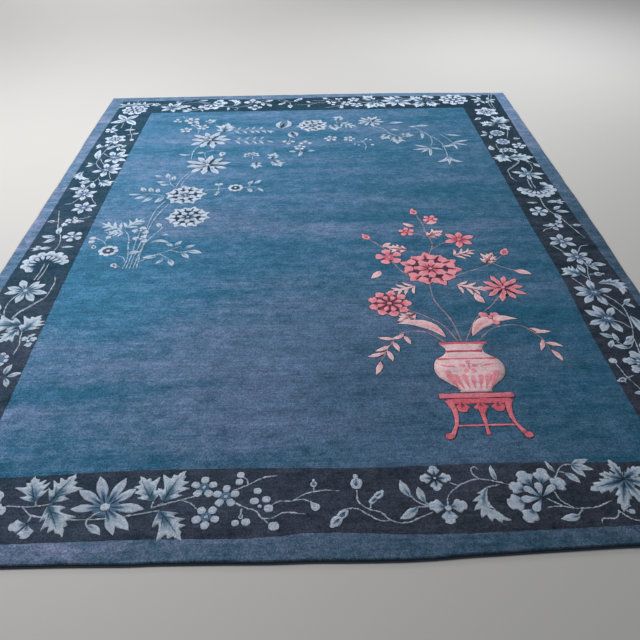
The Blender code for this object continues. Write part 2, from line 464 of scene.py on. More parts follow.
def pile_block(lines, radius, pitch):
    """Sections of a rectangular block of pile between four lines, rounded at its rim. The height of
    a point is the lower of the heights that its places across and along give."""
    inwards, drop = rounded_rim(radius)
    shares, drops = [], []
    for low, high in ((lines[0](0.0), lines[1](0.0)), (lines[2](0.0), lines[3](0.0))):
        size = high - low
        steps = int(size / pitch)
        inner = radius + (size - 2 * radius) * np.arange(1, steps) / steps
        shares.append(np.concatenate((inwards, inner, size - inwards[::-1])) / size)
        drops.append(np.concatenate((drop, np.zeros(steps - 1), drop[::-1])))
    flat = net_between(lines, shares[0][::-1], shares[1])
    fall = np.maximum(drops[0][None, ::-1], drops[1][:, None])
    top = np.concatenate((flat, (PILE_TOP - fall + uneven(flat))[..., None]), -1)
    root = np.concatenate((flat, np.full(flat.shape[:2] + (1,), PILE_ROOT)), -1)[:, ::-1]
    return np.concatenate((top, root), 1)[None]


# columns: output, grains a metre along x, y and z, detail, roughness
WOOL_NOISES = (
    ("Fleck", (15.0, 23.0, 15.0), 7.0, 0.95),
    ("Streak", (5.0, 95.0, 1.0), 4.0, 0.75),
    ("Bar", (0.45, 6.5, 1.0), 3.0, 0.6),
    ("Cloud", (1.7, 5.0, 1.0), 4.0, 0.6),
)
# how strongly knots, flecks and streaks show in the tone
WOOL_GRAIN = (("Knot", 0.7), ("Fleck", 2.8), ("Streak", 1.3))
# how strongly the tufts show in the tone: their fibres, and painted shade in the hollows between knots
FIBRES_AND_SHADE_IN_TONE = 0.3
FIBRES = (1100.0, 1100.0, 300.0)
# Painted light: the wool is painted lighter towards the far left and darker towards the near right.
PAINTED_LIGHT_TO_RIGHT = -0.24     # change of the painted light with each metre to the right
PAINTED_LIGHT_TO_FAR_END = 0.05    # and with each metre towards the far end
PAINTED_LIGHT_RANGE = (0.10, 0.95)
KNOT_SCATTER = 0.45       # how unevenly the knots stand
DOME_RANGE = (0.1, 0.8)   # distance from a knot's middle, in knots, over which its dome falls
SHEEN_TINT = (0.45, 0.68, 1.0, 1.0)
TUFT_DEPTH = 0.0011


def wool_group():
    """Knotted wool seen from above. Tuft is the height of a knot's dome, 1 at its middle. Fleck is
    the chance tone of small groups of knots, Bar that of broad bars along the weft rows, and Cloud
    that of large soft patches. Tone is the wool's brightness, about 1: knots, flecks and short
    streaks, each as strong as the input Grain says, and the tufts: their fibres, and each dome
    painted lighter at its middle and darker between the knots, which is painted shade. The last
    output is painted light with the patches of Cloud in it, from 0 at the near right, where the
    light is dimmest, to 1 at the far left, where it is brightest."""
    outputs = ("Tone", "Tuft", "Fleck", "Bar", "Cloud", "Fade")
    group = bpy.data.node_groups.new("knotted_wool", "ShaderNodeTree")
    group.interface.new_socket("Grain", in_out="INPUT", socket_type="NodeSocketFloat")
    for label in outputs:
        group.interface.new_socket(label, in_out="OUTPUT", socket_type="NodeSocketFloat")
    grain = group.nodes.new("NodeGroupInput").outputs["Grain"]
    out = group.nodes.new("NodeGroupOutput")
    where = placed(group, "ShaderNodeTexCoord", {})["Object"]
    cells = {"Vector": where, "Scale": WARPS_PER_METRE, "Randomness": KNOT_SCATTER}
    knots = placed(group, "ShaderNodeTexVoronoi", cells, voronoi_dimensions="2D")
    dome = worked(group, "SUBTRACT", 1.0, eased(group, knots["Distance"], *DOME_RANGE))
    wool_parts = {
        "Tuft": worked(group, "MULTIPLY_ADD", noise_at(group, FIBRES, 2.0, 0.6), 0.5, dome),
        "Knot": placed(group, "ShaderNodeSeparateColor", {"Color": knots["Color"]})["Red"],
    }
    for label, stretch, detail, roughness in WOOL_NOISES:
        wool_parts[label] = noise_at(group, stretch, detail, roughness)
    # The tufts in the tone: fibres, and the hollows between knots painted darker, which is painted shade.
    tone = worked(group, "MULTIPLY_ADD", wool_parts["Tuft"], FIBRES_AND_SHADE_IN_TONE, 1 - FIBRES_AND_SHADE_IN_TONE / 2)
    for label, strength in WOOL_GRAIN:
        share = worked(group, "MULTIPLY", grain, strength)
        part = worked(group, "MULTIPLY_ADD", worked(group, "SUBTRACT", wool_parts[label], 0.5), share, 1.0)
        tone = worked(group, "MULTIPLY", tone, part)
    # Painted light: lighter towards the far left, with the large soft patches of Cloud in it.
    leftwards = worked(group, "MULTIPLY_ADD", place_along(group, "X"), PAINTED_LIGHT_TO_RIGHT, wool_parts["Cloud"])
    wool_parts["Tone"] = tone
    wool_parts["Fade"] = eased(group, sloped(group, leftwards, PAINTED_LIGHT_TO_FAR_END), *PAINTED_LIGHT_RANGE)
    for label in outputs:
        group.links.new(wool_parts[label], out.inputs[label])
    return group


wool = wool_group()


def wool_material(name, sheen, grain):
    """A material with the wool group placed in it, a soft sheen, and the tufts as bump. It gives the
    material, its tree and shader, and the group's outputs. Grain is how strongly knots, flecks and
    streaks show."""
    material, tree, shader = plain_material(name, {
        "Roughness": 0.88, "Specular IOR Level": 0.12, "Sheen Weight": sheen, "Sheen Roughness": 0.45,
        "Sheen Tint": SHEEN_TINT,
    })
    pile = placed(tree, "ShaderNodeGroup", {"Grain": grain}, node_tree=wool)
    bumped(tree, shader, pile["Tuft"], TUFT_DEPTH)
    return material, tree, shader, pile


def toned(tree, shader, colour, tone):
    """The colour with its brightness multiplied by the tone, into Base Color."""
    shaded = placed(tree, "ShaderNodeHueSaturation", {"Value": tone, "Color": colour})["Color"]
    tree.links.new(shaded, shader.inputs["Base Color"])


def worn_place(tree, middle, reach):
    """1 at the middle of a worn place, falling smoothly to 0 at its reach across and along."""
    from_middle = mapped(tree, "TEXTURE", Location=(*middle, 0.0), Scale=(*reach, 1.0))
    away = placed(tree, "ShaderNodeVectorMath", {"Vector": from_middle}, operation="LENGTH")["Value"]
    return worked(tree, "SUBTRACT", 1.0, eased(tree, away, 0.0, 1.0))


BAR_IN_HAZE = 0.9      # shares of the wool's outputs that make up the haze
CLOUD_IN_HAZE = 0.6
FLECK_IN_HAZE = 1.6
HAZE_FROM = 1.34       # their sum where the haze begins, and where it is full
HAZE_TO = 1.84


def ground_wool(name, shaded_dyes, lit_dyes, bars, sheen, near_cast=0.0, wear=(), far_painted_light=0.0):
    """Plain dyed pile. The two colour pairs each hold a clear colour and a hazier, redder one: the same
    dyes in painted shade and in painted light. The colour goes from the first pair to the second as
    the painted light grows towards the far left. The haze comes in flecks and in patches drawn out
    along the weft rows, and grows by the near amount a metre towards the near end: a painted colour
    cast of the light there. Wear lists worn places (middle, reach, haze): how much more or less of it
    each has. The far amount is how much more painted light the wool gets with each metre past the
    middle to the far end. Bars is how much lighter and darker the dye is in bars along the weft rows."""
    material, tree, shader, pile = wool_material(name, sheen, 1.0)
    clouds = worked(tree, "MULTIPLY", pile["Cloud"], CLOUD_IN_HAZE)
    patches = sloped(tree, worked(tree, "MULTIPLY_ADD", pile["Bar"], BAR_IN_HAZE, clouds), -near_cast)
    for middle, reach, worn_haze in wear:
        patches = worked(tree, "MULTIPLY_ADD", worn_place(tree, middle, reach), worn_haze, patches)
    flecked = worked(tree, "MULTIPLY_ADD", pile["Fleck"], FLECK_IN_HAZE, patches)
    haze = eased(tree, flecked, HAZE_FROM, HAZE_TO)
    # Painted light: the wool is painted lighter towards the far left, and for the guard still lighter past
    # the middle towards the far end.
    further = worked(tree, "MAXIMUM", sloped(tree, 0.0, far_painted_light), 0.0)
    blend = worked(tree, "ADD", pile["Fade"], further)
    clear_dye = mixed(tree, blend, shaded_dyes[0], lit_dyes[0])
    hazy_dye = mixed(tree, blend, shaded_dyes[1], lit_dyes[1])
    bar = worked(tree, "MULTIPLY_ADD", pile["Bar"], bars, 1 - bars / 2)
    toned(tree, shader, mixed(tree, haze, clear_dye, hazy_dye), worked(tree, "MULTIPLY", pile["Tone"], bar))
    return material


# columns: clear colour, hazy colour
# The first pair of each ground is the dye in painted shade, at the near right, and the second the same dye
# in painted light, at the far left.
GUARD_SHADED = ((0.044, 0.116, 0.182, 1.0), (0.096, 0.134, 0.208, 1.0))
GUARD_LIT = ((0.110, 0.235, 0.390, 1.0), (0.218, 0.262, 0.415, 1.0))
BAND_SHADED = ((0.013, 0.036, 0.058, 1.0), (0.047, 0.055, 0.081, 1.0))
BAND_LIT = ((0.019, 0.072, 0.120, 1.0), (0.055, 0.078, 0.123, 1.0))
FIELD_SHADED = ((0.021, 0.137, 0.240, 1.0), (0.067, 0.146, 0.243, 1.0))
FIELD_LIT = ((0.062, 0.236, 0.418, 1.0), (0.160, 0.240, 0.410, 1.0))
# columns: middle of the place, how far it reaches across and along, how much more haze it has
FIELD_WEAR = (
    ((0.10, -1.15), (1.0, 0.85), 0.34),
    ((-0.40, 0.03), (0.75, 0.26), 0.16),
    ((-0.85, -0.55), (0.60, 0.55), -0.22),
)

# The guard is painted lighter still towards the far end: painted light.
guard_blue = ground_wool("guard_wool", GUARD_SHADED, GUARD_LIT, bars=0.7, sheen=0.10, far_painted_light=0.62)
# The band is painted hazier and redder towards the near end: a painted colour cast of the light there.
band_dark = ground_wool("band_wool", BAND_SHADED, BAND_LIT, bars=0.5, sheen=0.03, near_cast=0.13)
field_blue = ground_wool(
    "field_wool", FIELD_SHADED, FIELD_LIT, bars=0.8, sheen=0.10, near_cast=0.02, wear=FIELD_WEAR
)

band_lines = knotted_lines(BAND_LEFT, BAND_RIGHT, BAND_NEAR, BAND_FAR)
field_lines = knotted_lines(FIELD_LEFT, FIELD_RIGHT, FIELD_NEAR, FIELD_FAR)
rim_loop = loop_of(moved_in(outline, PILE_INSET, WEB_WIDTH - END_OVERHANG))
band_loop = loop_of(band_lines)
field_loop = loop_of(field_lines)
chance = np.random.default_rng(9)
bulge = TUFT_BULGE * chance.uniform(-0.6, 1.0, len(rim_loop))
level = np.zeros(len(band_loop))


def laid(name, nets, material):
    """A piece that is knotted in or sewn on, which goes with the foundation."""
    piece = piece_from(name, nets, material)
    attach(piece, "root")
    return piece


guard_net = pile_ring(rim_loop, band_loop, OUTER_ROUND, INNER_ROUND, GUARD_STEPS, bulge)
band_net = pile_ring(band_loop, field_loop, INNER_ROUND, INNER_ROUND, BAND_STEPS, level)
field_net = pile_block(field_lines, INNER_ROUND, FIELD_PITCH)
laid("pile_guard", [(guard_net, 0.0, True)], guard_blue)
laid("pile_band", [(band_net, 0.0, True)], band_dark)
laid("pile_field", [(field_net, 0.0, False)], field_blue)


# ---- the overcast sides -------------------------------------------------------------------------
# Along each long side a bundle of outer warps is wrapped round and round with a soft pale cotton
# yarn. The turns lie close, a little slanted, and the yarn is soiled where feet and floor rub it.

SELVEDGE_GAP = 0.0003
TURN_PITCH = 0.0034
STEPS_PER_TURN = 4
YARN_SIDES = 8
YARN_GROOVE = 0.16     # how deep the groove between turns goes, as a share of the radius
YARN_SLANT = 0.7       # turns that a wrap slips along in going round
YARN_CLEAN = (0.80, 0.72, 0.66, 1.0)
YARN_SOILED = (0.15, 0.17, 0.21, 1.0)
YARN_SOIL_SPOTS = (1.0, 2.2, 1.0)
YARN_SOIL_TO_NEAR_END = -0.10
YARN_SOIL_RANGE = (0.36, 0.66)
YARN_PLIES = (700.0, 500.0, 700.0)
PLY_DEPTH = 0.0003
PLY_IN_TONE = 0.5
GROOVE_PAINTED_SHADE = 0.60     # brightness in the groove between two turns: painted shade
ARCH_PAINTED_LIGHT = 0.45       # how much brighter the back of a turn is painted: painted light


def overcast_side(edge, side, low, high):
    """Sections of a wrapped cord beside an edge line: its radius swells and shrinks with the place
    along it and, for the slant, with the way round, as the arch of each turn of yarn does."""
    turns = int((high.y - low.y) / TURN_PITCH)
    y = np.linspace(low.y, high.y, turns * STEPS_PER_TURN + 1)
    radius = (high.z - low.z) / 2
    middle = edge(y) + side * (SELVEDGE_GAP + radius)
    angle = np.linspace(0.0, 2 * np.pi, YARN_SIDES, endpoint=False)
    phase = (y / TURN_PITCH)[:, None] + YARN_SLANT * angle / (2 * np.pi)
    arch = np.abs(np.sin(np.pi * phase))
    size = radius * (1 - YARN_GROOVE * (1 - arch) ** 1.5)
    x = middle[:, None] + size * np.cos(angle)
    z = radius + size * np.sin(angle)
    points = np.stack((x, np.broadcast_to(y[:, None], x.shape), z), -1)
    return points[None], arch[None], False


yarn, tree, shader = plain_material("selvedge_yarn", {"Roughness": 0.85, "Sheen Weight": 0.2})
soil = sloped(tree, noise_at(tree, YARN_SOIL_SPOTS, 4.0, 0.65), YARN_SOIL_TO_NEAR_END)
ply = noise_at(tree, YARN_PLIES, 2.0)
# Painted shade in the grooves between the turns and painted light on the backs of the turns, by the arch
# kept as mark.
shaded = worked(tree, "MULTIPLY_ADD", mark_of(tree), ARCH_PAINTED_LIGHT, GROOVE_PAINTED_SHADE)
plied = worked(tree, "MULTIPLY_ADD", ply, PLY_IN_TONE, 1 - PLY_IN_TONE / 2)
yarn_colour = mixed(tree, eased(tree, soil, *YARN_SOIL_RANGE), YARN_CLEAN, YARN_SOILED)
toned(tree, shader, yarn_colour, worked(tree, "MULTIPLY", shaded, plied))
bumped(tree, shader, ply, PLY_DEPTH)

for name, edge, side in (("selvedge_left", outline[0], -1), ("selvedge_right", outline[1], 1)):
    wraps = overcast_side(edge, side, *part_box(name))
    wrapped = laid(name.replace("selvedge", "overcast"), [wraps], yarn)
    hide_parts(name)


# ---- flowers, leaves and vines of the band ------------------------------------------------------
# Ordinary blossoms, leaves, buds and vines, knotted in pale and slate-blue wool on the dark band.
# The design turns round the middle of the carpet: what grows along the near end and the right side
# grows again, turned by half a circle, along the far end and the left side.

RIM_RISE = 0.00012     # rim of a knotted shape above the ground
CROWN_RISE = 0.00035   # its middle above its rim
LIFT = 0.00022         # one step of a shape that lies over another
SKIRT = 0.0015         # how far its sides go down into the pile
HAND_SHAKE = 0.0012    # how far the knots step aside from a clean outline
THINNEST = 0.0005      # half width of the narrowest tip
LENGTH_CHANCE = 0.05   # how far chance changes a stroke, as shares of its length, width and tone
SWAY_CHANCE = 0.06
WIDTH_CHANCE = 0.06
TONE_CHANCE = 0.05
TIP_TONE_FROM = 0.6    # share of its length past which a stroke has the tone of its tip
RIM_SINK = 0.45        # steps of lift that the dark rim lies below its shape
VEIN_REACH = 0.3       # share of the half width that lies beside the vein
VEIN_FADE = 1.4        # how fast the vein fades towards the tip
KNOBBLE = 0.50         # how unevenly wide a stem is, as a share of its width
STEM_SHAKE = 0.0006    # how far the knots of a stem step aside
STEM_TONE_CHANCE = 0.45
MM_IN_METRE = 1000
# Places across a shape from right to left: foot, rim, flank, two beside the vein, flank, rim, foot.
ACROSS = np.array((-1.0, -1.0, -0.62, -0.17, 0.17, 0.62, 1.0, 1.0))
# The same for a stem, which has two places on its back, and for the flat rim round a petal.
STEM_ACROSS = np.array((-1.0, -1.0, -0.42, 0.42, 1.0, 1.0))
RIM_ACROSS = np.array((-1.0, -1.0, 1.0, 1.0))

steady = np.random.default_rng(31)


def closer_at_ends(count):
    """Shares of a length from 0 to 1, closer together towards both ends: half a cosine wave."""
    return (1 - np.cos(np.linspace(0.0, np.pi, count))) / 2


def toothed_places(teeth):
    """Shares of a length with three places to a tooth: its notch, its back and its point."""
    return (np.arange(teeth)[:, None] + np.array((0.03, 0.55, 0.97))).ravel() / teeth


def from_rows(*rows):
    """A half width as a share of the widest, smooth through rows of (share of the length, share of
    the widest), both in hundredths."""
    return lambda t: through(np.divide(rows, 100), t)


def bulged(power):
    """A half width that bulges as a circle does with a power of 2, and squarer with a higher one."""
    return lambda t: (1 - np.abs(2 * t - 1) ** power) ** (1 / power)


def toothed(teeth, depth):
    """A leaf's half width cut by forward teeth: each grows from its notch to its point, and then the
    edge falls back by depth."""
    body = from_rows((0, 10), (12, 55), (38, 100), (65, 86), (85, 50), (100, 4))
    return lambda t: body(t) * (1 - depth * (1 - t * teeth % 1.0))


def narrow_leaf(t):
    """The half width of the untoothed edge of a comb."""
    return 0.45 * LEAF(t)


DISC = bulged(2.0)
PAD = bulged(2.6)
LEAF = from_rows((0, 6), (16, 58), (42, 100), (66, 84), (86, 42), (100, 2))
LANCE = from_rows(
    (0, 20), (18, 50), (42, 92), (60, 100), (76, 76), (90, 36), (100, 2)
)
DROP = from_rows(
    (0, 10), (25, 38), (50, 78), (72, 100), (88, 84), (96, 55), (100, 10)
)
CLOUD = from_rows(
    (0, 14), (20, 42), (42, 92), (54, 100), (64, 82), (70, 58), (80, 64),
    (90, 55), (97, 30), (100, 6)
)
STEM = from_rows((0, 100), (50, 86), (92, 72), (100, 30))
# The two edges of a lobed leaf, from its root to its tip: the peaks are the points of the lobes.
LOBED = from_rows(
    (0, 6), (4, 42), (10, 66), (15, 74), (20, 44), (27, 42), (34, 62),
    (42, 92), (47, 100), (51, 62), (57, 42), (63, 46), (69, 42), (73, 24),
    (82, 20), (100, 2)
)
LOBED_TOO = from_rows(
    (0, 6), (5, 50), (12, 84), (17, 56), (23, 52), (30, 80), (36, 94),
    (41, 60), (48, 50), (55, 66), (60, 64), (64, 34), (72, 28), (80, 26),
    (85, 14), (100, 2)
)
BOWL = from_rows(
    (0, 46), (6, 42), (12, 56), (30, 92), (48, 100), (64, 90), (76, 62),
    (84, 54), (93, 60), (100, 72)
)
LEG = from_rows((0, 100), (25, 72), (60, 48), (88, 50), (100, 70))

STRAIGHT = ("bar", "bowl", "leg")   # shapes that are drawn true, without a chance turn
# shape: places along it, left half width, right half width, forward sweep of its edges, vein
SHAPES = {
    "disc": (closer_at_ends(15), DISC, DISC, 0.0, 0.0),
    "pad": (closer_at_ends(15), PAD, PAD, 0.0, 0.0),
    "petal": (closer_at_ends(13), DROP, DROP, 0.0, 0.22),
    "lance": (closer_at_ends(14), LANCE, LANCE, 0.0, 0.42),
    "leaf": (closer_at_ends(12), LEAF, LEAF, 0.0, 0.52),
    "finger": (closer_at_ends(9), LEAF, LEAF, 0.0, 0.10),
    "cloud": (closer_at_ends(19), CLOUD, CLOUD, 0.0, 0.32),
    "lobe": (toothed_places(4), toothed(4, 0.45), toothed(4, 0.45), 0.35, 0.60),
    "lobed": (np.linspace(0.0, 1.0, 34), LOBED, LOBED_TOO, 0.55, 0.66),
    "back_lobed": (np.linspace(0.0, 1.0, 34), LOBED_TOO, LOBED, 0.55, 0.66),
    "comb": (toothed_places(7), toothed(7, 0.55), narrow_leaf, 0.40, 0.50),
    "back_comb": (toothed_places(7), narrow_leaf, toothed(7, 0.55), 0.40, 0.50),
    "stem": (np.linspace(0.0, 1.0, 44), STEM, STEM, 0.0, 0.0),
    "bowl": (np.linspace(0.0, 1.0, 29), BOWL, BOWL, 0.0, 0.0),
    "bar": (np.linspace(0.0, 1.0, 15), np.ones_like, np.ones_like, 0.0, 0.0),
    "leg": (np.linspace(0.0, 1.0, 13), LEG, LEG, 0.0, 0.0),
}


def by_chance(most, *shape):
    """Chance numbers between -most and most, drawn in the order in which the carpet is knotted."""
    return most * steady.uniform(-1, 1, shape)


def relief(spine, left, right, sweep, mark, vein, lift, across=ACROSS):
    """Sections of flat shapes along their spines (copies, places, 2). A section is square to the
    spine, as wide as left and right say, its edges swept forward, with its points at the places
    across it, and it arches from its rim to its crown as 1 - across squared. The vein takes mark off
    the places beside the spine."""
    heading = np.gradient(spine, axis=1)
    heading /= np.linalg.norm(heading, axis=-1, keepdims=True)
    aside = np.stack((-heading[..., 1], heading[..., 0]), -1)
    shake = by_chance(HAND_SHAKE, *spine.shape[:2], 2)
    right = np.maximum(right + shake[..., 0], THINNEST)[..., None]
    left = np.maximum(left + shake[..., 1], THINNEST)[..., None]
    reach = np.where(across < 0, right, left) * across
    swept = sweep * np.abs(reach) * np.abs(across)
    flat = spine[:, :, None] + aside[:, :, None] * reach[..., None] + heading[:, :, None] * swept[..., None]
    height = PILE_TOP + uneven(flat) + RIM_RISE + (lift * LIFT)[:, None, None]
    height = height + CROWN_RISE * (1 - across ** 2)
    height[..., (0, -1)] -= SKIRT
    beside_vein = np.abs(across) < VEIN_REACH
    blend = np.clip(VEIN_FADE * (1 - np.linspace(0.0, 1.0, spine.shape[1])), 0.0, 1.0)[:, None]
    marks = np.clip(mark[..., None] - vein * beside_vein * blend, 0.0, 1.0)
    return np.concatenate((flat, height[..., None]), -1), marks, False


def strokes_net(rows, rim=0.0):
    """Nets for rows of (shape, x, y, tip x, tip y, half width, bow, mark at the root, mark at the
    tip, lift), one for each shape. The spine runs from root to tip and bows aside by a share of its
    length, as 4 t (1 - t). With a rim, a flat dark copy that is wider by it all round lies below
    each shape."""
    nets = []
    for shape in sorted({row[0] for row in rows}):
        places, left, right, sweep, vein = SHAPES[shape]
        table = np.array([row[1:] for row in rows if row[0] == shape], float)
        count = len(table)
        half, bow, root_mark, tip_mark = table.T[4:8, :, None]
        root, tip = table[:, None, 0:2] + DRAWN_MIDDLE, table[:, None, 2:4] + DRAWN_MIDDLE
        chord = (tip - root) * (1 + by_chance(LENGTH_CHANCE, count, 1, 1))
        aside = np.stack((-chord[..., 1], chord[..., 0]), -1)
        chord = chord + aside * by_chance(0.0 if shape in STRAIGHT else SWAY_CHANCE, count, 1, 1)
        t = places[None, :, None]
        spine = root + chord * t + aside * bow[..., None] * 4 * t * (1 - t)
        width = half * (1 + by_chance(WIDTH_CHANCE, count, 1))
        ease = np.clip(places / TIP_TONE_FROM, 0, 1)
        ease = ease * ease * (3 - 2 * ease)
        mark = root_mark + (tip_mark - root_mark) * ease + by_chance(TONE_CHANCE, count, 1)
        sides = width * left(places), width * right(places)
        nets.append(relief(spine, *sides, sweep, mark, vein, table[:, 8]))
        if rim:
            longer = spine + chord / np.linalg.norm(chord, axis=-1, keepdims=True) * rim * (2 * t - 1)
            wider = sides[0] + rim, sides[1] + rim
            below = table[:, 8] - RIM_SINK
            nets.append(relief(longer, *wider, sweep, np.zeros(mark.shape), 0.0, below, RIM_ACROSS))
    return nets


def stems_net(lines, half_width, mark):
    """A net of stems. Each line holds x and y of one point after another, in mm, and its spine is a
    smooth curve through them, read at even shares of the way."""
    places = SHAPES["stem"][0]
    spines = []
    for line in lines:
        points = np.reshape(line, (-1, 2)) / MM_IN_METRE + DRAWN_MIDDLE
        way = np.concatenate(([0.0], np.cumsum(np.linalg.norm(np.diff(points, axis=0), axis=1))))
        spines.append([through(np.column_stack((way / way[-1], axis)), places) for axis in points.T])
    spine = np.array(spines).transpose(0, 2, 1)
    spine = spine + by_chance(STEM_SHAKE, *spine.shape)
    width = half_width * STEM(places) * (1 + by_chance(KNOBBLE, len(lines), len(places)))
    marks = mark - STEM_TONE_CHANCE * steady.uniform(0, 1, spine.shape[:2])
    return [relief(spine, width, width, 0.0, marks, 0.0, np.zeros(len(lines)), STEM_ACROSS)]


def petals(shape, rows, root=0.35, tip=1.0, lift=0):
    """Strokes of one shape that point outwards, one for each row of (angle in degrees, inner, outer
    and half width in hundredths of the motif's size)."""
    turned = [(np.cos(np.radians(angle)), np.sin(np.radians(angle)), *row) for angle, *row in rows]
    return [
        (shape, inner * c, inner * s, outer * c, outer * s, half, 0.0, root, tip, lift)
        for c, s, inner, outer, half in turned
    ]


def fan(shape, inner, outer, count, half, middle=0.0, spread=360.0, root=0.35, tip=1.0, lift=0, short=1.0):
    """Strokes of one shape that point outwards, from inner to outer, evenly spread round the middle
    direction in degrees. Every second one is shortened by the share short."""
    whole = spread >= 360
    step = spread / (count if whole else count - 1)
    first = middle if whole else middle - spread / 2
    rows = [(first + step * i, inner, outer * (short if i % 2 else 1.0), half) for i in range(count)]
    return petals(shape, rows, root, tip, lift)


def disc(radius, mark=0.9, lift=2, x=0.0, y=0.0):
    """A round patch as one stroke."""
    return [("disc", x - radius, y, x + radius, y, radius, 0.0, mark, mark, lift)]


def peony(count, inside):
    """A full round blossom: blunt petals with points between them stand round a navy disc, and on it
    a curled petal for each row of inside (angle, inner, outer, half)."""
    ring = fan("pad", 60, 90, count, 210 / count, root=0.85, lift=1)
    points = fan("leaf", 66, 110, count, 170 / count, 12.0, root=0.80, lift=1, short=0.90)
    gaps = fan("leaf", 58, 86, count, 2.2, 180.0 / count, root=0.05, tip=0.25, lift=3)
    curls = petals("cloud", inside, 0.55, 1.0, 1)
    return disc(72, 0.02, 0) + ring + points + gaps + curls + disc(7, 0.95, 3)


# The main vein and two side veins of a lobed leaf.
LEAF_VEINS = [
    ("leaf", 3, 0, 78, 1, 3, 0.02, 0.02, 0.45, 2), ("leaf", 20, 1, 46, 20, 2.2, 0.0, 0.10, 0.55, 2),
    ("leaf", 20, -1, 46, -20, 2.2, 0.0, 0.10, 0.55, 2),
]

